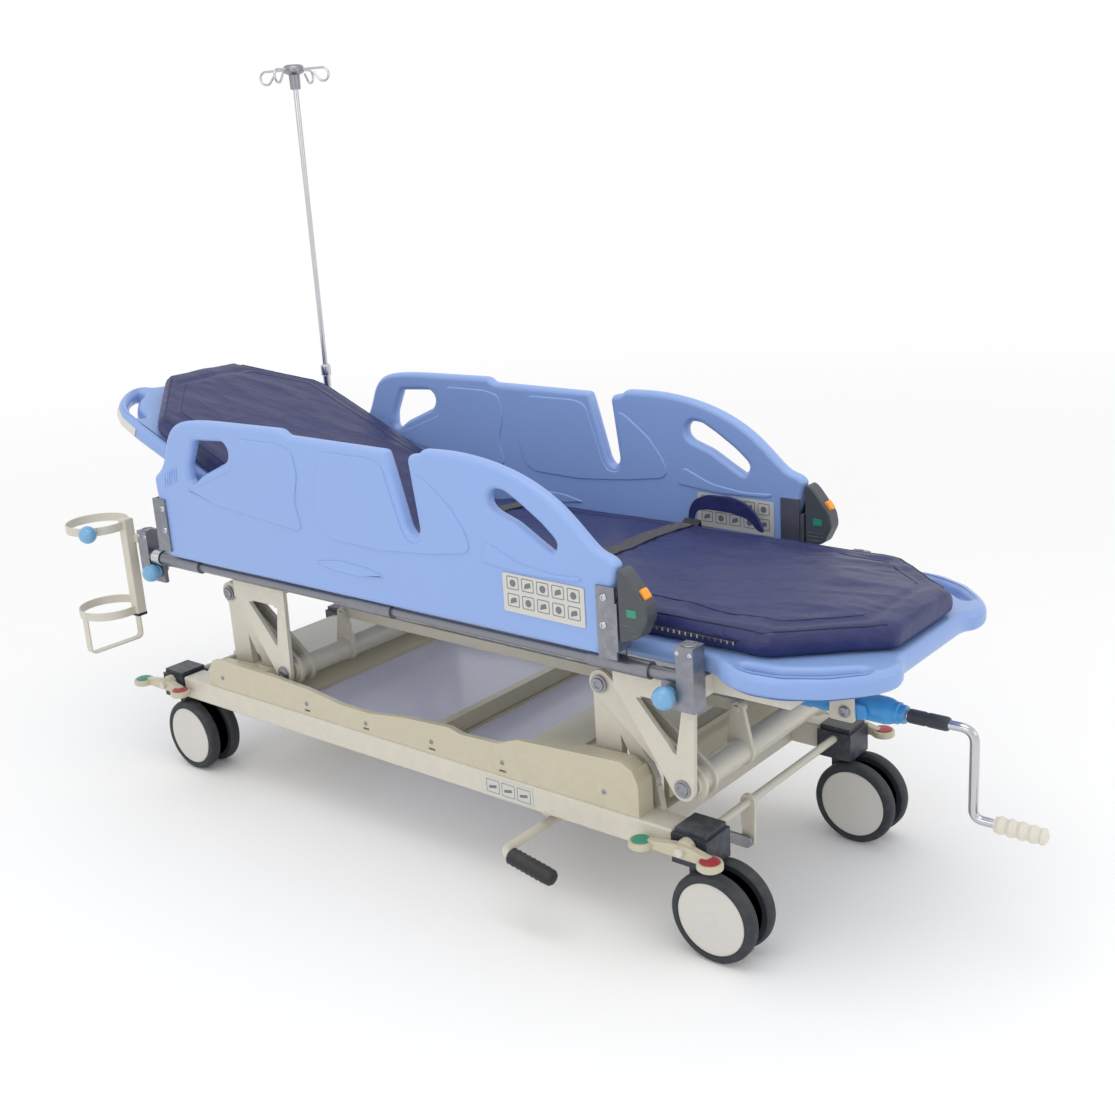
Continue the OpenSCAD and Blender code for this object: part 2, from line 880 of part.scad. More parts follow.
module pole_rod() {
  color([0.75, 0.76, 0.79]) placed() translate([-post_x, post_y, 560])
    cylinder(h = pole_top_z - 560 - 20, r = rod_radius);
}

module hook_wire(a) {
  rotate([0, 0, a]) {
    translate([14, 0, 0])
      rotate([0, 90, 0])
        cylinder(h = hook_reach - 14, r = 3);
    translate([hook_reach, 0, 0])
      sphere(r = 3);
    translate([hook_reach, 0, -30])
      cylinder(h = 30, r = 3);
    translate([hook_reach, 0, -30])
      sphere(r = 3);
    translate([hook_reach - 22, 0, -30])
      rotate([0, 90, 0])
        cylinder(h = 22, r = 3);
    translate([hook_reach - 22, 0, -30])
      sphere(r = 3);
  }
}

module pole_hooks() {
  color([0.5, 0.51, 0.54]) placed() translate([-post_x, post_y, pole_top_z]) {
    difference() {
      union() {
        translate([0, 0, -44])
          cylinder(h = 56, r = 17);
        translate([0, 0, -8])
          cylinder(h = 16, r = 26);
      }
      translate([0, 0, -50])
        cylinder(h = 30, r = rod_radius);
    }
    for (a = [20, 110, 200, 290])
      hook_wire(a);
  }
}

module bottle_holder() {
  color(beige) placed() {
    // square post
    block(holder_x - 13, holder_x + 13, -325, -299, 380, 622);
    // arm to the corner post
    block(holder_x + 13, -post_x - post_side / 2, -306, -286, 560, 580);
    for (z = [594, 384])
      translate([ring_x, ring_y, z])
        difference() {
          cylinder(h = ring_height, r = ring_radius + 3);
          translate([0, 0, -1])
            cylinder(h = ring_height + 2, r = ring_radius);
          rotate([0, 0, knob_turn])
            rod_x(0, 10, ring_radius - 12, ring_radius + 12, 5 + run_clearance);
        }
    // cradle strip under the lower ring
    block(ring_x - 10, ring_x + 10, ring_y - ring_radius - 3, ring_y - ring_radius,
      300, 400);
    block(ring_x - 10, ring_x + 10, ring_y + ring_radius, ring_y + ring_radius + 3,
      300, 400);
    block(ring_x - 10, ring_x + 10, ring_y - ring_radius - 3, ring_y + ring_radius + 3,
      297, 300.5);
  }
}

module holder_knob() {
  color([0.45, 0.62, 0.84]) placed() {
    translate([ring_x, ring_y, 604])
      rotate([0, 0, knob_turn]) {
        translate([ring_radius + 27, 0, 0])
          sphere(r = 21);
        rod_x(0, 0, ring_radius - 10, ring_radius + 16, 5);
      }
  }
}

base_rails();
base_crossmembers();
base_cover();
tray_floor();
lift_legs();
castor_caps();
castor_fork_nf();
castor_rims_nf();
castor_tyres_nf();
castor_fork_ff();
castor_rims_ff();
castor_tyres_ff();
castor_fork_nh();
castor_rims_nh();
castor_tyres_nh();
castor_fork_fh();
castor_rims_fh();
castor_tyres_fh();
brake_shaft_foot();
brake_pedals_foot();
brake_shaft_head();
brake_pedals_head();
brake_link();
pump_lever();
pump_grip();
torque_arm_foot();
torque_arm_head();
sync_bar();
bed_frame();
bed_gussets();
corner_posts();
deck_seat();
mattress_seat();
safety_straps();
mattress_handles();
crank_gearbox();
deck_back();
mattress_back();
push_rod();
crank_handle();
crank_grip();
rail_frame_near();
rail_panel_near();
rail_latch_near();
rail_button_near();
rail_frame_far();
rail_panel_far();
rail_latch_far();
rail_button_far();
knob_near_foot();
knob_far_foot();
knob_near_head();
knob_far_head();
pole_tube();
pole_rod();
pole_hooks();
bottle_holder();
holder_knob();
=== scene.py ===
from math import cos, exp, pi, radians, sin

import bmesh
import bpy
from mathutils import Matrix, Vector, noise


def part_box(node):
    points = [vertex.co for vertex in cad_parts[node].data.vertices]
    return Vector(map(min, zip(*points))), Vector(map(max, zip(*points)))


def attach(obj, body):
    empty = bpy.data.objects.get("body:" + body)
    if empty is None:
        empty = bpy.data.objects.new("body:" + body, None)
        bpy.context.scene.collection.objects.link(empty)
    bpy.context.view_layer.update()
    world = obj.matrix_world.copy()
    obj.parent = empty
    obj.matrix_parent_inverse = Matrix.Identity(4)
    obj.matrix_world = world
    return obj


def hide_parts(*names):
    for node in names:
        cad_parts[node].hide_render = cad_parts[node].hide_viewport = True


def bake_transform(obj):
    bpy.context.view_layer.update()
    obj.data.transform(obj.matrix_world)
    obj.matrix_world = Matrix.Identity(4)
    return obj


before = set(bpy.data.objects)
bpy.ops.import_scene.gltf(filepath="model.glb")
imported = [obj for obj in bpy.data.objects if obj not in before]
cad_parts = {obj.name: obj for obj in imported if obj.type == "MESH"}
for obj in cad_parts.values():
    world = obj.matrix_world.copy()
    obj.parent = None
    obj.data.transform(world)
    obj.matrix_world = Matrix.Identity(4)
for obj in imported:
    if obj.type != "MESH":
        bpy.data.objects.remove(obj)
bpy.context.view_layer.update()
print("frame loaded")

# row origin: the four castors stand evenly around it along X and Y
railLow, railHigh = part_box("base_rails")
midX = (railLow.x + railHigh.x) / 2
midY = (railLow.y + railHigh.y) / 2
backAngle = radians(22)
hingeX = -150
hingeZ = 555
sideSigns = {"near": -1, "far": 1}
endSigns = {"foot": 1, "head": -1}


def spot(x, y, z):
    # millimetres from the middle of the castors to metres in the row frame
    return Vector((midX + x / 1000, midY + y / 1000, z / 1000))


def newGroup(name, inputs, outputs):
    # inputs: label and start value, a colour as four numbers; outputs: labels
    group = bpy.data.node_groups.new(name, "ShaderNodeTree")
    for label, value in inputs.items():
        kind = "NodeSocketColor" if isinstance(value, tuple) else "NodeSocketFloat"
        socket = group.interface.new_socket(name=label, in_out="INPUT", socket_type=kind)
        socket.default_value = value
    for label in outputs:
        kind = "NodeSocketColor" if label == "Color" else "NodeSocketFloat"
        group.interface.new_socket(name=label, in_out="OUTPUT", socket_type=kind)
    entry = group.nodes.new("NodeGroupInput").outputs
    leave = group.nodes.new("NodeGroupOutput").inputs
    return group, entry, leave


def feed(tree, value, socket):
    # an output is linked, anything else becomes the input's own value
    if hasattr(value, "is_linked"):
        tree.links.new(value, socket)
    else:
        socket.default_value = value


def addNode(tree, kind, **settings):
    node = tree.nodes.new(kind)
    for key, value in settings.items():
        setattr(node, key, value)
    return node


def mathNode(tree, operation, first, second=None, clamp=False):
    node = addNode(tree, "ShaderNodeMath", operation=operation, use_clamp=clamp)
    feed(tree, first, node.inputs[0])
    if second is not None:
        feed(tree, second, node.inputs[1])
    return node.outputs[0]


def mixColor(tree, factor, first, second):
    node = addNode(tree, "ShaderNodeMix", data_type="RGBA", blend_type="MIX")
    feed(tree, factor, node.inputs["Factor"])
    feed(tree, first, node.inputs[6])
    feed(tree, second, node.inputs[7])
    return node.outputs[2]


def mapRange(tree, value, low, high, newLow, newHigh):
    node = addNode(tree, "ShaderNodeMapRange")
    feed(tree, value, node.inputs["Value"])
    for key, number in (("From Min", low), ("From Max", high), ("To Min", newLow),
                        ("To Max", newHigh)):
        feed(tree, number, node.inputs[key])
    return node.outputs["Result"]


def scaleColor(tree, color, factor):
    node = addNode(tree, "ShaderNodeVectorMath", operation="SCALE")
    feed(tree, color, node.inputs[0])
    feed(tree, factor, node.inputs["Scale"])
    return node.outputs[0]


def objectCoords(tree):
    return addNode(tree, "ShaderNodeTexCoord").outputs["Object"]


def noiseOver(tree, scale, detail, distortion=0.0):
    node = addNode(tree, "ShaderNodeTexNoise")
    feed(tree, objectCoords(tree), node.inputs["Vector"])
    feed(tree, scale, node.inputs["Scale"])
    feed(tree, detail, node.inputs["Detail"])
    feed(tree, distortion, node.inputs["Distortion"])
    return node.outputs["Fac"]


def buildMouldedGrain():
    group, entry, leave = newGroup(
        "mouldedGrain",
        {"Color": (0.5, 0.5, 0.5, 1), "Mottle": 0.06, "Grain Scale": 900.0, "Roughness": 0.4,
         "Roughness Spread": 0.08},
        ("Color", "Roughness", "Height"))
    cloudScale, cloudDetail, speckDetail = 6.0, 5.0, 2.0
    light = mathNode(group, "SUBTRACT", noiseOver(group, cloudScale, cloudDetail), 0.5)
    shade = mathNode(group, "ADD", mathNode(group, "MULTIPLY", light, entry["Mottle"]), 1.0)
    feed(group, scaleColor(group, entry["Color"], shade), leave["Color"])
    spread = mathNode(group, "MULTIPLY", light, entry["Roughness Spread"])
    feed(group, mathNode(group, "ADD", entry["Roughness"], spread, True), leave["Roughness"])
    feed(group, noiseOver(group, entry["Grain Scale"], speckDetail), leave["Height"])
    return group


def buildEdgeWear():
    group, entry, leave = newGroup(
        "edgeWear",
        {"Color": (0.5, 0.5, 0.5, 1), "Worn Color": (0.8, 0.8, 0.8, 1), "Amount": 0.3,
         "Break Up": 60.0},
        ("Color", "Mask"))
    geometry = addNode(group, "ShaderNodeNewGeometry")
    edge = mapRange(group, geometry.outputs["Pointiness"], 0.52, 0.60, 0.0, 1.0)
    ragged = mapRange(group, noiseOver(group, entry["Break Up"], 6.0), 0.45, 0.62, 0.0, 1.0)
    mask = mathNode(group, "MULTIPLY", mathNode(group, "MULTIPLY", edge, ragged), entry["Amount"])
    feed(group, mixColor(group, mask, entry["Color"], entry["Worn Color"]), leave["Color"])
    feed(group, mask, leave["Mask"])
    return group


def buildSettledDust():
    group, entry, leave = newGroup(
        "settledDust",
        {"Color": (0.5, 0.5, 0.5, 1), "Dust Color": (0.62, 0.6, 0.55, 1), "Amount": 0.15},
        ("Color", "Mask"))
    geometry = addNode(group, "ShaderNodeNewGeometry")
    split = addNode(group, "ShaderNodeSeparateXYZ")
    feed(group, geometry.outputs["Normal"], split.inputs[0])
    upward = mapRange(group, split.outputs["Z"], 0.3, 1.0, 0.0, 1.0)
    driftScale, driftDetail = 14.0, 7.0
    patchy = mapRange(group, noiseOver(group, driftScale, driftDetail), 0.4, 0.7, 0.2, 1.0)
    mask = mathNode(group, "MULTIPLY", mathNode(group, "MULTIPLY", upward, patchy), entry["Amount"])
    feed(group, mixColor(group, mask, entry["Color"], entry["Dust Color"]), leave["Color"])
    feed(group, mask, leave["Mask"])
    return group


def buildHideGrain():
    group, entry, leave = newGroup(
        "hideGrain",
        {"Pore Scale": 700.0, "Crease Scale": 22.0, "Crease Share": 0.7},
        ("Height", "Crease"))
    pores = addNode(group, "ShaderNodeTexVoronoi")
    feed(group, objectCoords(group), pores.inputs["Vector"])
    feed(group, entry["Pore Scale"], pores.inputs["Scale"])
    folds = noiseOver(group, entry["Crease Scale"], 3.0, 1.2)
    ridge = mathNode(group, "ABSOLUTE", mathNode(group, "SUBTRACT", folds, 0.5))
    # the crease mask is 0 on the fold lines and 1 away from them; it sets the bump and, in
    # makeHide, painted shade along the creases
    crease = mapRange(group, ridge, 0.0, 0.09, 0.0, 1.0)
    feed(group, crease, leave["Crease"])
    creaseHeight = mathNode(group, "MULTIPLY", crease, entry["Crease Share"])
    poreHeight = mathNode(group, "MULTIPLY", pores.outputs["Distance"], 0.25)
    feed(group, mathNode(group, "ADD", creaseHeight, poreHeight), leave["Height"])
    return group


def buildWeave():
    group, entry, leave = newGroup(
        "webWeave", {"Color": (0.02, 0.02, 0.03, 1), "Thread Scale": 420.0}, ("Color", "Height"))
    bands = []
    for direction in ("X", "Y"):
        wave = addNode(group, "ShaderNodeTexWave", bands_direction=direction)
        feed(group, objectCoords(group), wave.inputs["Vector"])
        feed(group, entry["Thread Scale"], wave.inputs["Scale"])
        bands.append(wave.outputs["Fac"])
    threads = mathNode(group, "MAXIMUM", *bands)
    # painted shade: the colour follows the thread relief, darker between the threads and lighter on
    # their tops
    shade = mapRange(group, threads, 0.0, 1.0, 0.6, 1.25)
    feed(group, scaleColor(group, entry["Color"], shade), leave["Color"])
    feed(group, threads, leave["Height"])
    return group


mouldedGrain = buildMouldedGrain()
edgeWear = buildEdgeWear()
settledDust = buildSettledDust()
hideGrain = buildHideGrain()
webWeave = buildWeave()


def placeGroup(tree, group, **values):
    node = addNode(tree, "ShaderNodeGroup", node_tree=group)
    for key, value in values.items():
        feed(tree, value, node.inputs[key.replace("_", " ")])
    return node.outputs


def newMaterial(name, **settings):
    # settings: inputs of the Principled shader, with _ for a space
    material = bpy.data.materials.new(name)
    material.use_nodes = True
    tree = material.node_tree
    shader = tree.nodes["Principled BSDF"].inputs
    for key, value in settings.items():
        shader[key.replace("_", " ")].default_value = value
    return material, tree, shader


def addRelief(tree, shader, height, strength, distance):
    relief = addNode(tree, "ShaderNodeBump")
    relief.inputs["Strength"].default_value = strength
    relief.inputs["Distance"].default_value = distance
    feed(tree, height, relief.inputs["Height"])
    feed(tree, relief.outputs["Normal"], shader["Normal"])


def makeFinish(name, color, roughness, metallic=0.0, coat=0.0, worn=None, wear=0.0, dust=0.0,
               grain=900.0,
               bump=0.04, mottle=0.06, spread=0.1):
    # one finish: mottled base, rubbed edges, a little dust, fine surface grain
    material, tree, shader = newMaterial(name, Metallic=metallic, Coat_Weight=coat,
                                         Coat_Roughness=0.12)
    base = placeGroup(tree, mouldedGrain, Color=(*color, 1), Mottle=mottle, Grain_Scale=grain,
                      Roughness=roughness, Roughness_Spread=spread)
    rubbed = placeGroup(tree, edgeWear, Color=base["Color"], Worn_Color=(*(worn or color), 1),
                        Amount=wear)
    dusty = placeGroup(tree, settledDust, Color=rubbed["Color"], Amount=dust)
    feed(tree, dusty["Color"], shader["Base Color"])
    dulled = mathNode(tree, "MULTIPLY", dusty["Mask"], 0.5)
    feed(tree, mathNode(tree, "ADD", base["Roughness"], dulled, True), shader["Roughness"])
    addRelief(tree, shader, base["Height"], bump, 0.001)
    return material


def makeHide(name, color, litBetweenCreasesColor, roughness, creaseScale, creaseShare, strength):
    # coated fabric with pores and soft creases, with painted shade along the crease lines
    material, tree, shader = newMaterial(name, Sheen_Weight=0.02, Sheen_Roughness=0.4,
                                         Coat_Weight=0.05,
                                         Coat_Roughness=0.3)
    hide = placeGroup(tree, hideGrain, Pore_Scale=650.0, Crease_Scale=creaseScale,
                      Crease_Share=creaseShare)
    base = placeGroup(tree, mouldedGrain, Color=(*color, 1), Mottle=0.35, Grain_Scale=300.0,
                      Roughness=roughness, Roughness_Spread=0.2)
    # painted shade: away from the crease lines the colour is lifted toward a lighter blue, so the
    # crease valleys stay darker
    creaseShadeFactor = mathNode(tree, "MULTIPLY", hide["Crease"], 0.12)
    creaseShadedColor = mixColor(tree, creaseShadeFactor, base["Color"], (*litBetweenCreasesColor, 1))
    dusty = placeGroup(tree, settledDust, Color=creaseShadedColor, Amount=0.005)
    feed(tree, dusty["Color"], shader["Base Color"])
    feed(tree, base["Roughness"], shader["Roughness"])
    addRelief(tree, shader, hide["Height"], strength, 0.002)
    return material


def makeWebbing(name, color):
    material, tree, shader = newMaterial(name, Sheen_Weight=0.3, Roughness=0.75)
    weave = placeGroup(tree, webWeave, Color=(*color, 1), Thread_Scale=380.0)
    feed(tree, weave["Color"], shader["Base Color"])
    addRelief(tree, shader, weave["Height"], 0.5, 0.0006)
    return material


skyBlue = makeFinish("skyBluePlastic", (0.255, 0.385, 0.72), 0.36, coat=0.12, worn=(0.5, 0.64, 0.9),
                     wear=0.35,
                     dust=0.03, grain=1400.0, bump=0.05)
skyBlueDeep = makeFinish("skyBlueDeckPlastic", (0.235, 0.365, 0.69), 0.34, coat=0.15,
                         worn=(0.45, 0.6, 0.9),
                         wear=0.3, dust=0.03, grain=1400.0, bump=0.05)
beigePaint = makeFinish("beigePowderCoat", (0.60, 0.565, 0.48), 0.33, coat=0.15,
                        worn=(0.7, 0.68, 0.6), wear=0.3,
                        dust=0.015, grain=1800.0, bump=0.07)
creamPlastic = makeFinish("creamCoverPlastic", (0.52, 0.475, 0.35), 0.3, coat=0.3,
                          worn=(0.6, 0.56, 0.44),
                          wear=0.25, dust=0.02, grain=1200.0, bump=0.04)
trayLiner = makeFinish("paleTrayLiner", (0.66, 0.66, 0.78), 0.3, coat=0.2, worn=(0.8, 0.8, 0.88),
                       wear=0.2,
                       dust=0.04, grain=1200.0, bump=0.03)
slatePlastic = makeFinish("slateCastorPlastic", (0.022, 0.027, 0.04), 0.42, worn=(0.12, 0.13, 0.15),
                          wear=0.5,
                          dust=0.08, grain=1500.0, bump=0.1)
tyreRubber = makeFinish("castorTyreRubber", (0.02, 0.023, 0.032), 0.6, worn=(0.1, 0.1, 0.1),
                        wear=0.5, dust=0.1,
                        grain=1100.0, bump=0.12)
discPlastic = makeFinish("wheelDiscPlastic", (0.62, 0.60, 0.56), 0.35, coat=0.15,
                         worn=(0.75, 0.74, 0.72),
                         wear=0.3, dust=0.06, grain=1600.0, bump=0.04)
zincSteel = makeFinish("zincPlatedSteel", (0.30, 0.30, 0.33), 0.34, metallic=0.9,
                       worn=(0.5, 0.5, 0.52),
                       wear=0.3, dust=0.01, grain=500.0, bump=0.03, mottle=0.12, spread=0.12)
polishedSteel = makeFinish("polishedSteel", (0.55, 0.55, 0.58), 0.16, metallic=1.0,
                           worn=(0.8, 0.8, 0.8),
                           wear=0.3, grain=700.0, bump=0.02, mottle=0.12)
hammeredSteel = makeFinish("dullRailSteel", (0.24, 0.245, 0.28), 0.33, metallic=0.8,
                           worn=(0.45, 0.45, 0.48),
                           wear=0.25, dust=0.01, grain=350.0, bump=0.05, mottle=0.12, spread=0.12)
latchPlastic = makeFinish("latchPlastic", (0.06, 0.068, 0.08), 0.45, worn=(0.2, 0.2, 0.22),
                          wear=0.4, dust=0.05,
                          grain=1500.0, bump=0.1)
orangePlastic = makeFinish("orangeButtonPlastic", (0.9, 0.34, 0.02), 0.32, coat=0.2,
                           worn=(1.0, 0.6, 0.25),
                           wear=0.3, grain=1500.0, bump=0.04)
knobBlue = makeFinish("knobBluePlastic", (0.16, 0.38, 0.62), 0.22, coat=0.5, worn=(0.4, 0.6, 0.8),
                      wear=0.2,
                      grain=1500.0, bump=0.03)
boxBlue = makeFinish("gearboxBluePlastic", (0.03, 0.27, 0.62), 0.3, coat=0.25, worn=(0.2, 0.5, 0.8),
                     wear=0.4,
                     dust=0.05, grain=1200.0, bump=0.05)
ivoryGrip = makeFinish("ivoryGripPlastic", (0.70, 0.66, 0.57), 0.3, coat=0.25,
                       worn=(0.8, 0.78, 0.7), wear=0.3,
                       dust=0.04, grain=1500.0, bump=0.04)
blackRubber = makeFinish("blackGripRubber", (0.012, 0.012, 0.014), 0.5, worn=(0.06, 0.06, 0.06),
                         wear=0.5,
                         dust=0.06, grain=900.0, bump=0.15)
padGreen = makeFinish("padGreenPlastic", (0.02, 0.26, 0.16), 0.4, coat=0.1, worn=(0.1, 0.4, 0.3),
                      wear=0.3,
                      dust=0.06, grain=1300.0, bump=0.06)
padRed = makeFinish("padRedPlastic", (0.36, 0.01, 0.02), 0.4, coat=0.1, worn=(0.5, 0.1, 0.1),
                    wear=0.3,
                    dust=0.06, grain=1300.0, bump=0.06)
labelPaper = makeFinish("labelPaper", (0.58, 0.57, 0.53), 0.45, worn=(0.7, 0.7, 0.68), wear=0.2,
                        grain=1500.0,
                        bump=0.02)
labelInk = makeFinish("labelInk", (0.16, 0.17, 0.19), 0.5, grain=1500.0, bump=0.02)
# the lighter colour in each call is painted light between the creases; the crease lines keep the
# darker base
navyHide = makeHide("navyCoatedFabric", (0.014, 0.018, 0.095), (0.04, 0.055, 0.24), 0.42, 16.0,
                    0.55, 0.35)
navyPiping = makeHide("navyPipingFabric", (0.008, 0.011, 0.055), (0.03, 0.04, 0.14), 0.45, 60.0,
                      0.2, 0.2)
blackWebbing = makeWebbing("blackWebbing", (0.010, 0.011, 0.014))
print("materials ready")


def addObject(name, data):
    piece = bpy.data.objects.new(name, data)
    bpy.context.scene.collection.objects.link(piece)
    return piece


def meshFrom(work, name):
    # ends the editing of a mesh and gives it a name
    mesh = bpy.data.meshes.new(name)
    work.to_mesh(mesh)
    work.free()
    return mesh


def bakeModifiers(piece):
    graph = bpy.context.evaluated_depsgraph_get()
    graph.update()
    baked = bpy.data.meshes.new_from_object(piece.evaluated_get(graph))
    piece.modifiers.clear()
    piece.data = baked


def shadeSmooth(piece, sharpAngle):
    mesh = piece.data
    mesh.polygons.foreach_set("use_smooth", [True] * len(mesh.polygons))
    mesh.set_sharp_from_angle(angle=radians(sharpAngle))
    piece.modifiers.new("evenShading", "WEIGHTED_NORMAL").keep_sharp = True
    bakeModifiers(piece)


def cornerArc(start, corner, stop, steps):
    # points of a curve that turns at a corner
    arc = []
    for step in range(steps + 1):
        part = step / steps
        arc.append(start * (1 - part) ** 2 + corner * 2 * part * (1 - part) + stop * part ** 2)
    return arc


longestShare = 0.48  # how much of a side one rounded corner may use


def roundedLoop(points, radius, steps=5):
    # rounds each corner of a closed outline; radius is one number or one for each corner
    loop = []
    for index, corner in enumerate(points):
        here = Vector(corner)
        before = Vector(points[index - 1]) - here
        after = Vector(points[(index + 1) % len(points)]) - here
        reach = radius[index] if isinstance(radius, list) else radius
        start = here + before.normalized() * min(reach, before.length * longestShare)
        stop = here + after.normalized() * min(reach, after.length * longestShare)
        loop += cornerArc(start, here, stop, steps)
    return loop


def bentPath(points, bend, steps=7):
    # an open path whose corners are rounded by a bend length
    path = [Vector(points[0])]
    for index in range(1, len(points) - 1):
        here = Vector(points[index])
        before, after = Vector(points[index - 1]) - here, Vector(points[index + 1]) - here
        reach = min(bend, before.length * longestShare, after.length * longestShare)
        path += cornerArc(here + before.normalized() * reach, here,
                          here + after.normalized() * reach, steps)
    path.append(Vector(points[-1]))
    return path


def rectangle(x, z, width, height, inset=0):
    right, top = x + width - inset, z + height - inset
    return [(x + inset, z + inset), (right, z + inset), (right, top), (x + inset, top)]


def addSpline(curve, points, closed):
    spline = curve.splines.new("POLY")
    spline.points.add(len(points) - 1)
    for point, place in zip(spline.points, points):
        point.co = (*place, 1)
    spline.use_cyclic_u = closed


def meshOfCurve(name, curve):
    holder = addObject(name + "Curve", curve)
    graph = bpy.context.evaluated_depsgraph_get()
    mesh = bpy.data.meshes.new_from_object(holder.evaluated_get(graph))
    bpy.data.objects.remove(holder)
    mesh.name = name
    return mesh


def slabMesh(name, loops, depth, edge, matrix, rings=3):
    # flat outline with holes, grown to a depth, with rolled edges; outline in mm in its own plane
    curve = bpy.data.curves.new(name, "CURVE")
    curve.dimensions = "2D"
    curve.fill_mode = "BOTH"
    curve.extrude = depth / 2 - edge
    curve.bevel_depth = edge
    curve.bevel_resolution = rings
    curve.offset = -edge
    for loop in loops:
        addSpline(curve, [(place[0], place[1], 0) for place in loop], True)
    mesh = meshOfCurve(name, curve)
    mesh.transform(matrix)
    work = bmesh.new()
    work.from_mesh(mesh)
    bmesh.ops.remove_doubles(work, verts=work.verts, dist=2e-5)
    bmesh.ops.recalc_face_normals(work, faces=work.faces)
    work.to_mesh(mesh)
    work.free()
    return mesh


def uprightPlane(yMiddle):
    # outline x, z in mm from the castor middle, standing in a plane of constant y
    return Matrix(((0.001, 0, 0, midX), (0, 0, -0.001, midY + yMiddle / 1000), (0, 0.001, 0, 0),
                   (0, 0, 0, 1)))


def flatPlane(zMiddle):
    # outline x, y in mm from the castor middle, lying at a height
    return Matrix(((0.001, 0, 0, midX), (0, 0.001, 0, midY), (0, 0, 0.001, zMiddle / 1000),
                   (0, 0, 0, 1)))


def turnAbout(centre, angle):
    return Matrix.Translation(centre) @ Matrix.Rotation(angle, 4, "Y") @ Matrix.Translation(-centre)


def backrestTurn(angle=backAngle):
    return turnAbout(spot(hingeX, 0, hingeZ), angle)


def tubeMesh(name, points, radius, closed=False, sides=10):
    # round rod along points in row metres
    curve = bpy.data.curves.new(name, "CURVE")
    curve.dimensions = "3D"
    curve.bevel_depth = radius
    curve.bevel_resolution = sides // 2
    curve.use_fill_caps = not closed
    addSpline(curve, points, closed)
    return meshOfCurve(name, curve)


def loftMesh(work, name, rows):
    # skin over rows of vertices that each go round once, closed at both ends
    count = len(rows[0])
    for before, after in zip(rows, rows[1:]):
        for k in range(count):
            work.faces.new((before[k], before[(k + 1) % count], after[(k + 1) % count], after[k]))
    work.faces.new(list(reversed(rows[0])))
    work.faces.new(rows[-1])
    bmesh.ops.remove_doubles(work, verts=work.verts, dist=1e-6)
    bmesh.ops.recalc_face_normals(work, faces=work.faces)
    return meshFrom(work, name)


def turnedMesh(name, profile, centre, axis, segments=64):
    # spins (radius, height) points in mm about an axis through centre
    work = bmesh.new()
    rings = []
    for radius, height in profile:
        turns = [2 * pi * step / segments for step in range(segments)]
        rings.append([work.verts.new((radius * cos(turn) / 1000, radius * sin(turn) / 1000,
                                      height / 1000))
                      for turn in turns])
    mesh = loftMesh(work, name, rings)
    upright = Vector(axis).to_track_quat("Z", "Y").to_matrix().to_4x4()
    mesh.transform(Matrix.Translation(centre) @ upright)
    return mesh


def boxMesh(name, low, high, edge):
    # softened block between two corners, in mm from the castor middle
    work = bmesh.new()
    bmesh.ops.create_cube(work, size=1.0)
    lowPoint = spot(*low)
    size = spot(*high) - lowPoint
    for vert in work.verts:
        vert.co = Vector([lowPoint[k] + (vert.co[k] + 0.5) * size[k] for k in range(3)])
    bmesh.ops.bevel(work, geom=list(work.edges), offset=edge / 1000, segments=3, profile=0.5,
                    affect="EDGES")
    return meshFrom(work, name)


def joinMeshes(name, parts):
    # parts: (mesh, material) pairs put in one piece
    work = bmesh.new()
    materials = []
    for mesh, material in parts:
        if material not in materials:
            materials.append(material)
        start = len(work.faces)
        work.from_mesh(mesh)
        work.faces.ensure_lookup_table()
        for face in work.faces[start:]:
            face.material_index = materials.index(material)
    piece = addObject(name, meshFrom(work, name))
    for material in materials:
        piece.data.materials.append(material)
    shadeSmooth(piece, 38)
    return piece


def rideAs(piece, body, node, stands=True):
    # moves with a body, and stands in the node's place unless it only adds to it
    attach(piece, body)
    if stands:
        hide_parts(node)


def settle(name, parts, body, node, stands=True):
    rideAs(joinMeshes(name, parts), body, node, stands)


easing = {"weld": 1e-5, "flat": 1.0, "corner": 25, "sharp": 45}
middleStrap = {"x": -0.008, "reach": 0.04, "top": 0.6}  # stays below the top of the mattress


def softened(node, body, material, edge):
    # the structural node again with its corners eased
    work = bmesh.new()
    work.from_mesh(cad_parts[node].data)
    bmesh.ops.remove_doubles(work, verts=work.verts, dist=easing["weld"])
    if node.startswith("rail_frame"):
        for vert in work.verts:
            if abs(vert.co.x - midX - middleStrap["x"]) < middleStrap["reach"]:
                vert.co.z = min(vert.co.z, middleStrap["top"])
    bmesh.ops.dissolve_limit(work, angle_limit=radians(easing["flat"]), verts=work.verts,
                             edges=work.edges)
    piece = addObject(node + "_eased", meshFrom(work, node + "Eased"))
    piece.data.materials.append(material)
    bevel = piece.modifiers.new("eased", "BEVEL")
    bevel.width = edge / 1000
    bevel.segments = 2
    bevel.limit_method = "ANGLE"
    bevel.angle_limit = radians(easing["corner"])
    bakeModifiers(piece)
    shadeSmooth(piece, easing["sharp"])
    rideAs(piece, body, node)


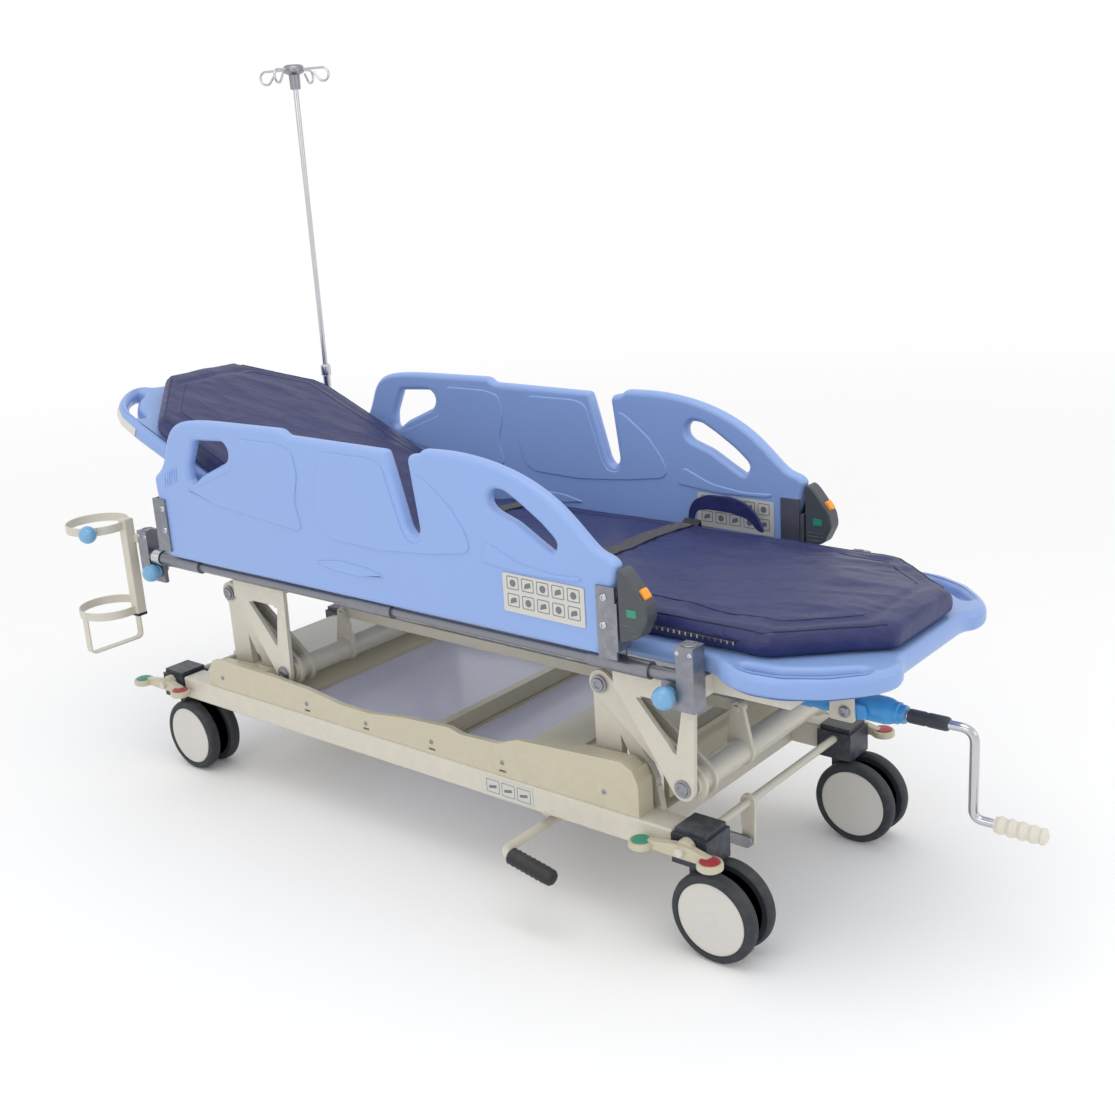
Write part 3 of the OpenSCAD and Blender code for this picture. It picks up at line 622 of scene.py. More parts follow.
easedNodes = {
    "base_rails": ("base", beigePaint, 5.0),
    "base_crossmembers": ("base", beigePaint, 2.0),
    "tray_floor": ("base", trayLiner, 0.8),
    "lift_legs": ("base", beigePaint, 2.0),
    "brake_shaft_foot": ("brake_foot", beigePaint, 1.2),
    "brake_shaft_head": ("brake_head", beigePaint, 1.2),
    "brake_link": ("brake_rod", zincSteel, 1.0),
    "torque_arm_foot": ("arm_foot", beigePaint, 1.5),
    "torque_arm_head": ("arm_head", beigePaint, 1.5),
    "sync_bar": ("sync", beigePaint, 1.5),
    "bed_frame": ("bed", beigePaint, 2.5),
    "bed_gussets": ("bed", beigePaint, 2.0),
    "corner_posts": ("bed", hammeredSteel, 4.0),
    "push_rod": ("pusher", polishedSteel, 1.0),
    "rail_frame_near": ("rail_near", hammeredSteel, 1.2),
    "rail_frame_far": ("rail_far", hammeredSteel, 1.2),
}
for node, (body, material, edge) in easedNodes.items():
    softened(node, body, material, edge)
softened("base_cover", "base", creamPlastic, 6.0)
softened("castor_caps", "base", slatePlastic, 7.0)
for corner in ("nf", "ff", "nh", "fh"):
    softened("castor_fork_" + corner, "swivel_" + corner, slatePlastic, 2.0)
print("structure eased")

wheelSizes = {"radius": 86, "discRadius": 70, "gap": 16, "width": 30, "trail": 44, "axleRadius": 8,
              "swivelX": 750, "swivelY": 263}


def castorWheels(corner, signX, signY):
    outer, disc, gap = wheelSizes["radius"], wheelSizes["discRadius"], wheelSizes["gap"]
    rim = gap + wheelSizes["width"]
    centre = spot(signX * wheelSizes["swivelX"] + wheelSizes["trail"],
                  signY * wheelSizes["swivelY"], outer)
    tyres, rims = [], []
    for side in (-1, 1):
        axis = (0, side, 0)
        tyreProfile = [(disc - 1, gap), (outer - 5, gap), (outer - 1.5, gap + 3), (outer, gap + 8),
                       (outer, rim - 12), (outer - 2, rim - 6), (outer - 6, rim - 2.5),
                       (disc + 2, rim - 2),
                       (disc - 1, rim - 4)]
        rimProfile = [(disc, gap), (disc, rim - 5), (disc - 1.5, rim - 3.4), (disc - 4, rim - 2.2),
                      (disc - 6, rim - 2.6), (disc - 7, rim - 2.2), (34, rim - 0.4), (16, rim),
                      (14.5, rim - 0.8), (13, rim - 0.8), (12, rim - 0.2), (4, rim)]
        tyres.append((turnedMesh("tyre", tyreProfile, centre, axis, 96), tyreRubber))
        rims.append((turnedMesh("disc", rimProfile, centre, axis, 80), discPlastic))
    half = Vector((0, (gap + 2) / 1000, 0))
    rims.append((tubeMesh("axle", [centre - half, centre + half], wheelSizes["axleRadius"] / 1000),
                 zincSteel))
    settle("castor_tyre_pair_" + corner, tyres, "wheels_" + corner, "castor_tyres_" + corner)
    settle("castor_disc_pair_" + corner, rims, "wheels_" + corner, "castor_rims_" + corner)


for corner, signX, signY in (("nf", 1, -1), ("ff", 1, 1), ("nh", -1, -1), ("fh", -1, 1)):
    castorWheels(corner, signX, signY)
print("castors ready")

pedal = {"inner": 303, "shaftX": 750, "greenAt": -86, "redAt": 60, "z": 218}


def brakePedals(end):
    parts = []
    shaftX, z = endSigns[end] * pedal["shaftX"], pedal["z"]
    greenX, redX = shaftX + pedal["greenAt"], shaftX + pedal["redAt"]
    outline = roundedLoop([(greenX - 20, z - 15), (shaftX - 20, z - 16), (redX + 18, z - 15),
                           (redX + 18, z - 5),
                           (shaftX + 18, z + 9), (shaftX - 18, z + 9), (greenX - 20, z - 5)], 8)
    hub = [(17, 0), (17, 12), (15, 15), (8, 15.5), (7, 13), (2, 13)]
    dish = [(22, -2), (24, 0), (24, 8), (22.5, 11), (19, 12), (18, 11), (2, 11)]
    face = [(18, 10), (18, 12.6), (16.5, 13.8), (10, 14.2), (9, 13.6), (8, 14.2), (1, 14.4)]
    for side in (-1, 1):
        bar = slabMesh("pedalBar", [outline], 18, 3, uprightPlane(side * (pedal["inner"] + 15)))
        parts.append((bar, creamPlastic))
        hubAt = spot(shaftX, side * pedal["inner"], z)
        parts.append((turnedMesh("pedalHub", hub, hubAt, (0, side, 0), 40), creamPlastic))
        for x, color in ((greenX, padGreen), (redX, padRed)):
            place = spot(x, side * (pedal["inner"] + 22), z - 14)
            parts.append((turnedMesh("pad", dish, place, (0, 0, 1), 48), creamPlastic))
            parts.append((turnedMesh("padFace", face, place, (0, 0, 1), 48), color))
    settle("brake_pedal_set_" + end, parts, "brake_" + end, "brake_pedals_" + end)


for end in endSigns:
    brakePedals(end)
print("pedals ready")

rail = {"inner": 304, "thick": 28, "edge": 12, "fieldDepth": 8, "ribs": 6}
railOutline = [(-648, 556), (-664, 730), (-662, 744), (-630, 768), (-612, 800), (-596, 840),
               (-572, 866),
               (-536, 880), (-459, 887), (-205, 890), (-187, 878), (98, 875), (104, 866),
               (145, 724), (160, 710),
               (176, 724), (158, 862), (164, 872), (188, 876), (201, 886), (280, 888), (362, 879),
               (428, 862),
               (475, 843), (517, 819), (551, 792), (580, 765), (604, 745), (632, 737), (644, 726),
               (636, 690),
               (600, 556)]
railRadii = [12, 30, 6, 20, 30, 30, 30, 40, 60, 10, 10, 8, 40, 12, 12, 12, 8, 8, 6, 10, 60, 60, 50,
             40, 40, 40,
             30, 14, 8, 8, 20, 10]
handHole = [(-500, 840), (-400, 846), (-386, 834), (-384, 819), (-393, 803), (-485, 764),
            (-518, 742),
            (-532, 746), (-530, 780)]
ovalHole = [(358, 817), (370, 830), (396, 828), (431, 809), (478, 779), (508, 754), (513, 742),
            (502, 726),
            (467, 745), (420, 772), (370, 789), (358, 800)]
raisedFields = {
    "headField": [(-545, 728), (-436, 703), (-175, 680), (-163, 690), (-178, 740), (-160, 800),
                  (-170, 850),
                  (-215, 860), (-340, 860), (-360, 820), (-372, 786), (-470, 748), (-520, 730)],
    "middleField": [(-98, 812), (-120, 753), (-98, 692), (-70, 676), (60, 672), (200, 684),
                    (296, 698),
                    (308, 714), (297, 742), (262, 786), (205, 828), (184, 838), (176, 828),
                    (188, 722), (174, 700),
                    (146, 700), (132, 718), (90, 846), (60, 856), (-80, 856)],
    "lensField": [(-138, 622), (-60, 634), (20, 630), (73, 618), (0, 608), (-80, 610)],
    "footField": [(330, 690), (348, 730), (420, 700), (500, 690), (572, 694), (560, 684),
                  (440, 680)],
}


def sideRail(side):
    sign = sideSigns[side]
    yMiddle = sign * (rail["inner"] + rail["thick"] / 2)
    loops = [roundedLoop(railOutline, railRadii), roundedLoop(handHole, 9),
             roundedLoop(ovalHole, 9)]
    parts = [(slabMesh("panel", loops, rail["thick"], rail["edge"], uprightPlane(yMiddle), 4),
              skyBlue)]
    for faceSign in (-1, 1):
        face = uprightPlane(yMiddle + faceSign * (rail["thick"] / 2 - 1.5))
        for field, outline in raisedFields.items():
            raised = slabMesh(field, [roundedLoop(outline, 14)], rail["fieldDepth"], 2.6, face, 3)
            parts.append((raised, skyBlue))
    # slanted ribs on the head corner
    ribY = sign * (rail["inner"] + rail["thick"] + 0.4)
    for step in range(rail["ribs"]):
        x, z = -622 + step * 9, 722 + step * 4
        line = [spot(x, ribY, z), spot(x + 6, ribY, z + 34)]
        parts.append((tubeMesh("rib", line, 0.0016, sides=6), skyBlue))
    settle("side_rail_panel_" + side, parts, "rail_" + side, "rail_panel_" + side)


label = {"paper": 1.2, "ink": 0.5, "lift": 0.7, "railFaces": {"near": -333.2, "far": 303.0},
         "columns": 5,
         "cellWidth": 28, "cellHeight": 25, "pitchX": 35, "pitchZ": 33, "tilt": 0.5}


def labelCell(x, z, width, height, line, corners, plane):
    # an inked frame on a label
    loops = [roundedLoop(rectangle(x, z, width, height), corners[0]),
             roundedLoop(rectangle(x, z, width, height, line), corners[1])]
    return slabMesh("cell", loops, label["ink"], 0.1, plane, 1), labelInk


def labelMark(outline, plane):
    return slabMesh("mark", [outline], label["ink"], 0.1, plane, 1), labelInk


def railLabel(side):
    tilt = turnAbout(spot(478, 0, 640), radians(label["tilt"]))
    paper = tilt @ uprightPlane(label["railFaces"][side])
    front = tilt @ uprightPlane(label["railFaces"][side] - label["lift"])
    plate = roundedLoop(rectangle(384, 603, 188, 74), 4)
    parts = [(slabMesh("labelPlate", [plate], label["paper"], 0.3, paper, 1), labelPaper)]
    for column in range(label["columns"]):
        for row in range(2):
            x, z = 394 + column * label["pitchX"], 614 + row * label["pitchZ"]
            parts.append(labelCell(x, z, label["cellWidth"], label["cellHeight"], 1.5, (3, 2),
                                   front))
            if (column + row) % 2:
                mark = [(x + 14 + 7 * cos(k * pi / 8), z + 12 + 7 * sin(k * pi / 8))
                        for k in range(16)]
            else:
                mark = roundedLoop([(x + 6, z + 5), (x + 22, z + 10), (x + 20, z + 19),
                                    (x + 8, z + 15)], 2)
            parts.append(labelMark(mark, front))
    settle("side_rail_label_" + side, parts, "rail_" + side, "rail_panel_" + side, stands=False)


latch = {"outline": [(645, 588), (688, 604), (706, 640), (701, 668), (664, 714), (652, 723),
                     (645, 718)],
         "depth": 34, "push": 38, "yMiddle": 318.5, "noseLength": 0.038, "noseWidth": 0.0205,
         "noseHeight": 0.024, "taper": 0.82}


def railLatch(side):
    yMiddle = sideSigns[side] * latch["yMiddle"]
    body = slabMesh("latchBody", [roundedLoop(latch["outline"], 9)], latch["depth"], 4,
                    uprightPlane(yMiddle), 4)
    parts = [(body, latchPlastic)]
    half = latch["depth"] / 2 + 0.6
    for step in range(3):
        z = 606 + step * 8
        rib = boxMesh("rib", (650, yMiddle - half, z), (684 + step * 4, yMiddle + half, z + 3), 0.8)
        parts.append((rib, latchPlastic))
    marker = roundedLoop(rectangle(664, 640, 20, 14), 2)
    parts.append((slabMesh("marker", [marker], 1.2, 0.3, uprightPlane(yMiddle - 17.2), 1),
                  padGreen))
    settle("side_rail_latch_body_" + side, parts, "rail_" + side, "rail_latch_" + side)


def latchButton(side):
    work = bmesh.new()
    bmesh.ops.create_cube(work, size=1.0)
    for vert in work.verts:
        taper = latch["taper"] if vert.co.x > 0 else 1.0
        vert.co = Vector((0.008 + vert.co.x * latch["noseLength"],
                          vert.co.y * latch["noseWidth"] * taper,
                          vert.co.z * latch["noseHeight"] * taper))
    bmesh.ops.bevel(work, geom=list(work.edges), offset=0.0035, segments=4, profile=0.5,
                    affect="EDGES")
    nose = meshFrom(work, "button")
    centre = spot(676, sideSigns[side] * latch["yMiddle"], 668)
    nose.transform(Matrix.Translation(centre) @ Matrix.Rotation(-radians(latch["push"]), 4, "Y"))
    settle("side_rail_button_nose_" + side, [(nose, orangePlastic)], "button_" + side,
           "rail_button_" + side)


spring = {"turns": 8, "steps": 16, "radius": 17, "pitch": 3.52, "startX": -705, "y": 306, "z": 538}


def railFixings(side):
    sign = sideSigns[side]
    parts = []
    head = [(7, 0), (7, 1.4), (6, 2.8), (3.4, 3.4), (3.2, 1.6), (0.5, 1.6)]
    for x, z in ((617, 668), (614, 617), (-638, 672), (-638, 622)):
        parts.append((turnedMesh("bolt", head, spot(x, sign * 336.6, z), (0, sign, 0), 28),
                      polishedSteel))
    coil = []
    for step in range(spring["turns"] * spring["steps"] + 1):
        angle = 2 * pi * step / spring["steps"]
        x = spring["startX"] - step * spring["pitch"] / spring["steps"]
        coil.append(spot(x, sign * spring["y"] + spring["radius"] * cos(angle),
                         spring["z"] + spring["radius"] * sin(angle)))
    parts.append((tubeMesh("coil", coil, 0.0019, sides=6), polishedSteel))
    settle("side_rail_fixings_" + side, parts, "rail_" + side, "rail_frame_" + side, stands=False)


for side in sideSigns:
    sideRail(side)
    railLabel(side)
    railLatch(side)
    latchButton(side)
    railFixings(side)
print("side rails ready")

deck = {"bottom": 535, "top": 575, "edge": 15, "footX": 1066, "headRun": 858, "leverRun": 140,
        "leverLean": 36, "leverHalf": 17}


def mirrored(half):
    return half + [(x, -y) for x, y in reversed(half)]


def footDeck():
    length = deck["footX"]
    half = [(-127, 0), (-127, -268), (length - 276, -268), (length - 238, -302),
            (length - 190, -318),
            (length - 130, -312), (length - 60, -278), (length - 4, -222), (length + 18, -180),
            (length + 16, -146), (length, -126)]
    # the notch lets the pusher lever pass when the backrest lies flat
    notch = [(-127, 30), (-98, 30), (-98, -30), (-127, -30)]
    outline = roundedLoop(mirrored(half[1:]), 26) + notch
    holes = []
    for side in (-1, 1):
        hole = [(length - 214, side * 284), (length - 180, side * 294), (length - 130, side * 288),
                (length - 70, side * 256), (length - 24, side * 208), (length - 32, side * 196),
                (length - 84, side * 238), (length - 140, side * 268), (length - 206, side * 274)]
        holes.append(roundedLoop(hole, 12))
    thick, plane = deck["top"] - deck["bottom"], flatPlane((deck["bottom"] + deck["top"]) / 2)
    parts = [(slabMesh("footSlab", [outline] + holes, thick, deck["edge"], plane, 5), skyBlueDeep)]
    rim = roundedLoop(mirrored([(-110, -246), (length - 280, -246), (length - 120, -214),
                                (length - 40, -150),
                                (length - 26, -110)]), 30)
    inner = roundedLoop(mirrored([(-98, -234), (length - 284, -234), (length - 128, -204),
                                  (length - 52, -144),
                                  (length - 40, -104)]), 26)
    parts.append((slabMesh("footRim", [rim, inner], 6, 2.4, flatPlane(deck["bottom"]), 2),
                  skyBlueDeep))
    settle("foot_deck_moulding", parts, "bed", "deck_seat")


def backDeck():
    length, thick = deck["headRun"], deck["top"] - deck["bottom"]
    half = [(14, -268), (length - 150, -268), (length - 90, -262), (length - 40, -240),
            (length - 2, -200),
            (length + 17, -160), (length + 16, -130), (length, -110)]
    outline = roundedLoop([(hingeX - x, y) for x, y in mirrored(half)], 26)
    holes = []
    for side in (-1, 1):
        hole = [(length - 120, 238), (length - 86, 236), (length - 52, 220), (length - 22, 186),
                (length - 8, 156), (length - 22, 152), (length - 44, 184), (length - 74, 208),
                (length - 120, 216)]
        holes.append(roundedLoop([(hingeX - x, side * y) for x, y in hole], 10))
    plane = backrestTurn() @ flatPlane(hingeZ)
    parts = [(slabMesh("backSlab", [outline] + holes, thick, deck["edge"], plane, 5), skyBlueDeep)]
    rim = [(hingeX - x, y) for x, y in mirrored([(60, -244), (length - 160, -244),
                                                 (length - 60, -180),
                                                 (length - 50, -110)])]
    inner = [(hingeX - x, y) for x, y in mirrored([(74, -230), (length - 170, -230),
                                                   (length - 74, -172),
                                                   (length - 64, -104)])]
    parts.append((slabMesh("backRim", [roundedLoop(rim, 26), roundedLoop(inner, 20)], 6, 2.4,
                           backrestTurn() @ flatPlane(hingeZ - 19), 2), skyBlueDeep))
    # the pusher lever: two plates and a pin
    leverTurn = backrestTurn(backAngle - radians(deck["leverLean"]))
    low = hingeZ - deck["leverRun"]
    turns = [radians(15 * step) for step in range(13)]
    lever = [(hingeX + 18 * cos(turn), hingeZ + 12 * sin(turn)) for turn in turns]
    lever += [(hingeX - 12 * cos(turn), low - 12 * sin(turn)) for turn in turns]
    for y in (-deck["leverHalf"], deck["leverHalf"]):
        parts.append((slabMesh("pushLever", [lever], 8, 1.5, leverTurn @ uprightPlane(y), 2),
                      beigePaint))
    pinHalf = deck["leverHalf"] + 4
    ends = [leverTurn @ spot(hingeX, y, low) for y in (-pinHalf, pinHalf)]
    parts.append((tubeMesh("pusherPin", ends, 0.006), polishedSteel))
    # pale plates on both side edges near the head
    for side in (-1, 1):
        plate = [(hingeX - 812, side * 244.6), (hingeX - 768, side * 263.8),
                 (hingeX - 706, side * 270),
                 (hingeX - 706, side * 266), (hingeX - 768, side * 260),
                 (hingeX - 812, side * 240.6)]
        parts.append((slabMesh("edgePlate", [plate], 20, 0.8, plane, 1), discPlastic))
    settle("back_deck_moulding", parts, "backrest", "deck_back")


footDeck()
backDeck()
print("decks ready")

mattress = {"thick": 54, "half": 258, "endHalf": 112, "cornerCut": 170, "foot": 1046, "head": 812,
            "bend": 110,
            "voxel": 0.0075, "quickVoxel": 0.014, "pressure": 3.2, "cap": 0.011, "shrink": 5,
            "steps": 60}


def padHalfWidth(along, length):
    # half width at a distance along, with the corner cut off near the end
    cut = mattress["cornerCut"]
    past = max(0, along - (length - cut))
    return mattress["half"] - past * (mattress["half"] - mattress["endHalf"]) / cut


def mattressPoint(run, y, height):
    # run in mm from the bend: plus toward the foot, minus up the backrest
    place = spot(hingeX + run, y, deck["top"] + height)
    return place if run >= 0 else backrestTurn() @ place


def buildMattress():
    shrink = mattress["shrink"]
    footRun = mattress["foot"] - hingeX - shrink
    headRun = mattress["head"] - shrink
    low, high = 3, mattress["thick"] - 8
    work = bmesh.new()
    rows = []
    for step in range(mattress["steps"] + 1):
        run = -headRun + step * (headRun + footRun) / mattress["steps"]
        length = footRun if run >= 0 else headRun
        half = padHalfWidth(abs(run), length) - shrink
        ring = []
        for y, z in ((-half + 6, low), (-half, low + 10), (-half, high - 14), (-half + 14, high),
                     (0, high + 3),
                     (half - 14, high), (half, high - 14), (half, low + 10), (half - 6, low),
                     (0, low)):
            # soften the bend: points near it lean between the two planes
            ease = max(0.0, 1 - abs(run) / mattress["bend"])
            place = mattressPoint(run, y, z)
            if run >= 0 and ease > 0:
                other = mattressPoint(-run if run else 0.01, y, z)
                place.z += (other.z - place.z) * 0.5 * ease
            ring.append(work.verts.new(place))
        rows.append(ring)
    pad = addObject("mattress_pad", loftMesh(work, "mattress", rows))
    remesh = pad.modifiers.new("even", "REMESH")
    remesh.mode = "VOXEL"
    remesh.voxel_size = mattress["voxel"]
    bakeModifiers(pad)
    inflate(pad)
    wrinkle(pad)
    restOnDeck(pad)
    pad.data.materials.clear()
    pad.data.materials.append(navyHide)
    subdivision = pad.modifiers.new("smooth", "SUBSURF")
    subdivision.levels = 1
    subdivision.render_levels = 1
    bakeModifiers(pad)
    pad.data.polygons.foreach_set("use_smooth", [True] * len(pad.data.polygons))
    return pad


def inflate(pad):
    rest = [vertex.co.copy() for vertex in pad.data.vertices]
    cloth = pad.modifiers.new("filled", "CLOTH")
    cloth.settings.use_pressure = True
    cloth.settings.uniform_pressure_force = mattress["pressure"]
    cloth.settings.effector_weights.gravity = 0
    cloth.settings.quality = 4
    cloth.settings.shrink_min = -0.05
    cloth.collision_settings.use_collision = False
    scene = bpy.context.scene
    for number in range(1, 17):  # long enough for the pad to fill
        scene.frame_set(number)
    graph = bpy.context.evaluated_depsgraph_get()
    swollen = pad.evaluated_get(graph).to_mesh()
    moved = [vertex.co.copy() for vertex in swollen.vertices]
    pad.evaluated_get(graph).to_mesh_clear()
    pad.modifiers.clear()
    scene.frame_set(1)
    for vertex, start, end in zip(pad.data.vertices, rest, moved):
        shift = end - start
        if shift.length > mattress["cap"]:
            shift *= mattress["cap"] / shift.length
        vertex.co = start + shift
    print("mattress filled")


def restOnDeck(pad):
    # nothing of the pad sinks into the deck below it
    floorHeight = (deck["top"] + 1) / 1000
    raising = backrestTurn()
    lower = raising.inverted()
    for vertex in pad.data.vertices:
        if vertex.co.x > midX + hingeX / 1000 - 0.012:
            vertex.co.z = max(vertex.co.z, floorHeight)
        else:
            flat = lower @ vertex.co
            if flat.z < floorHeight:
                flat.z = floorHeight
                vertex.co = raising @ flat


crease = {"grooveAt": 46, "grooveWidth": 9, "grooveDepth": 0.0034, "bendReach": 300,
          "cornerRun": 940,
          "cornerY": 190, "cornerReach": 260, "plain": 0.0026, "atBend": 0.0040, "atCorner": 0.0034,
          "limit": 0.006, "edgeFade": 60}


def wrinkle(pad):
    # a groove inside the edge roll, and long soft creases that gather at the bend
    # and the foot corners
    hinge = spot(hingeX, 0, hingeZ)
    lower = backrestTurn().inverted()
    for vertex in pad.data.vertices:
        local = vertex.co - hinge
        if local.x < 0:
            local = lower @ vertex.co - hinge
        if local.z < 0.05:  # sides and bottom stay plain
            continue
        run, y = local.x * 1000, local.y * 1000
        length = mattress["foot"] - hingeX if run >= 0 else mattress["head"]
        inside = min(padHalfWidth(abs(run), length) - abs(y), length - abs(run))
        across = (inside - crease["grooveAt"]) / crease["grooveWidth"]
        groove = -crease["grooveDepth"] * exp(-across ** 2)
        nearBend = max(0.0, 1 - abs(run) / crease["bendReach"])
        fromCorner = ((run - crease["cornerRun"]) ** 2 + (abs(y) - crease["cornerY"]) ** 2) ** 0.5
        nearCorner = max(0.0, 1 - fromCorner / crease["cornerReach"])
        strength = crease["plain"] + crease["atBend"] * nearBend + crease["atCorner"] * nearCorner
        slant = run * 0.62 + y * 0.78
        slow = noise.noise(Vector((slant * 0.006, (y - run * 0.25) * 0.013, 3.1)))
        fine = noise.ridged_multi_fractal(Vector((slant * 0.007, (y - run * 0.4) * 0.015, 7.7)),
                                          1.0, 2.1, 3,
                                          1.0, 2.0)
        fade = min(1.0, max(0.15, inside / crease["edgeFade"]))
        lift = strength * (slow * 1.3 + (fine - 1.1) * 1.1) * fade
        vertex.co.z += groove + max(-crease["limit"], min(crease["limit"], lift))


def outlineRuns(inset):
    # points around the top edge of the pad, as run and y
    runs = []
    footRun = mattress["foot"] - hingeX
    headRun = mattress["head"]
    for step in range(101):
        run = -headRun + inset + step * (headRun + footRun - 2 * inset) / 100
        length = footRun if run >= 0 else headRun
        runs.append((run, padHalfWidth(abs(run), length) - inset))
    return [(run, -half) for run, half in runs] + [(run, half) for run, half in reversed(runs)]


def mattressTop(pad, run, y, guess):
    # height of the real surface above or below a guessed point
    start = mattressPoint(run, y, guess + 60)
    down = (mattressPoint(run, y, guess) - start).normalized()
    hit, place = pad.ray_cast(start, down, distance=0.12)[:2]
    return place if hit else mattressPoint(run, y, guess)


def mattressSeams(pad):
    parts = []
    for inset, radius in ((16, 0.0021), (62, 0.0013)):
        line = [mattressTop(pad, run, y, mattress["thick"] - 4) for run, y in outlineRuns(inset)]
        parts.append((tubeMesh("seam", line, radius, closed=True, sides=6), navyPiping))
    # zip along the near side
    zipLine = [mattressPoint(run, -mattress["half"] - 1.0, 24) for run in range(80, 981, 18)]
    parts.append((tubeMesh("zip", zipLine, 0.0022, sides=6), blackRubber))
    for run in range(90, 980, 12):
        place = mattressPoint(run, -mattress["half"] - 3.2, 24)
        work = bmesh.new()
        bmesh.ops.create_cube(work, size=1.0)
        for vert in work.verts:
            vert.co = Vector((vert.co.x * 0.003, vert.co.y * 0.002, vert.co.z * 0.006)) + place
        parts.append((meshFrom(work, "tooth"), zincSteel))
    return joinMeshes("mattress_seams", parts)


pad = buildMattress()
seams = mattressSeams(pad)
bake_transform(pad)
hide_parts("mattress_seat", "mattress_back")
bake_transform(seams)
print("mattress ready")

def strapMesh(name, path, width, thick, across=(1, 0, 0)):
    # flat webbing along a path; across is the direction of its width
    work = bmesh.new()
    side = Vector(across).normalized() * width / 2
    rows = []
    for index, place in enumerate(path):
        before = path[max(0, index - 1)]
        after = path[min(len(path) - 1, index + 1)]
        normal = (after - before).cross(side).normalized() * thick / 2
        rows.append([work.verts.new(place + side * a + normal * b)
                     for a, b in ((-1, -1), (1, -1), (1, 1), (-1, 1))])
    return loftMesh(work, name, rows)


def crossStrap(pad, run, slant):
    # lies on the mattress and goes down both sides to the deck
    path = [mattressPoint(run - slant, -262, 2), mattressPoint(run - slant, -263, 30)]
    for step in range(33):
        y = -256 + step * 16
        shift = slant * y / 256
        place = mattressTop(pad, run + shift, y, mattress["thick"])
        path.append(place + Vector((0, 0, 0.0022)))
    path += [mattressPoint(run + slant, 263, 30), mattressPoint(run + slant, 262, 2)]
    return path


strap = {"waist": (398, 4), "bend": (-20, 6), "width": 0.040, "thick": 0.0022}
strapParts = []
for name in ("waist", "bend"):
    x, slant = strap[name]
    line = crossStrap(pad, x - hingeX, slant)
    strapParts.append((strapMesh(name + "Strap", line, strap["width"], strap["thick"]),
                       blackWebbing))
settle("safety_strap_pair", strapParts, "bed", "safety_straps")

carryOutline = [(386, 622), (390, 652), (404, 674), (436, 688), (496, 690), (532, 680), (558, 658),
                (576, 622),
                (560, 622), (536, 646), (500, 654), (440, 656), (408, 650), (400, 622)]
handleParts = []
for side in (-1, 1):
    band = roundedLoop(carryOutline, 12)
    handleParts.append((slabMesh("carryBand", [band], 6, 2.2, uprightPlane(side * 262), 3),
                        navyHide))
settle("mattress_carry_handles", handleParts, "bed", "mattress_handles")
print("straps ready")

crank = {"z": 415, "throw": 166, "armX": 1142, "gripStart": 1181, "gripEnd": 1273}


def screwHousing():
    z = crank["z"]
    body = [(12.1, 0), (17, 0), (19, 2), (19, 44), (24, 50), (25, 54), (25, 86), (23.5, 88),
            (23.5, 104),
            (25, 106), (25, 232), (24, 240), (22, 246), (20, 250), (20, 258), (17, 260), (17, 268),
            (16, 271),
            (9.1, 271)]
    housing = turnedMesh("housing", body, spot(745, 0, z), (1, 0, 0), 48)
    parts = [(housing, boxBlue)]
    for side in (-1, 1):
        ear = roundedLoop([(884, z - 20), (936, z - 20), (932, 470), (924, 534), (904, 534),
                           (890, 470)], 8)
        parts.append((slabMesh("ear", [ear], 8, 1.5, uprightPlane(side * 38), 2), beigePaint))
        clevis = roundedLoop([(880, z - 14), (950, z - 14), (956, z), (950, z + 14), (880, z + 14)],
                             6)
        parts.append((slabMesh("clevis", [clevis], 9, 1.5, uprightPlane(side * 29), 2), boxBlue))
        bolt = [(11, 0), (11, 3), (9, 6), (4, 6.5), (3, 5), (0.5, 5)]
        parts.append((turnedMesh("bolt", bolt, spot(917, side * 42, z), (0, side, 0), 32),
                      zincSteel))
    settle("crank_screw_housing", parts, "bed", "crank_gearbox")


def crankRod():
    z, low, arm = crank["z"], crank["z"] - crank["throw"], crank["armX"]
    line = bentPath([spot(981, 0, z), spot(arm, 0, z), spot(arm, 0, low),
                     spot(crank["gripStart"], 0, low)],
                    0.026)
    parts = [(tubeMesh("rod", line, 0.0085, sides=16), polishedSteel)]
    socket = [(9, 0), (12.5, 1), (13, 4), (13, 30), (12, 32), (12, 36), (13, 38), (13, 70),
              (11.5, 74), (9, 75)]
    parts.append((turnedMesh("socket", socket, spot(1021, 0, z), (1, 0, 0), 40), slatePlastic))
    tip = [spot(crank["gripStart"] - 2, 0, low), spot(1262, 0, low)]
    parts.append((tubeMesh("spindle", tip, 0.006), polishedSteel))
    settle("crank_rod", parts, "crank", "crank_handle")


def crankHold():
    low = crank["z"] - crank["throw"]
    profile = [(6.2, 0), (10, 0), (14, 2)]
    length = crank["gripEnd"] - crank["gripStart"]
    for step in range(1, 40):
        part = step / 40
        profile.append((14.6 + 1.5 * cos(part * 2 * pi * 4.5 + pi) + 0.8 * sin(part * pi),
                        2 + part * (length - 6)))
    profile += [(14, length - 3), (9, length), (0.5, length)]
    sleeve = turnedMesh("grip", profile, spot(crank["gripStart"], 0, low), (1, 0, 0), 48)
    settle("crank_finger_grip", [(sleeve, ivoryGrip)], "grip", "crank_grip")


screwHousing()
crankRod()
crankHold()
print("crank ready")

pump = {"z": 150, "x": 400, "pivotY": -190, "turnY": -408}


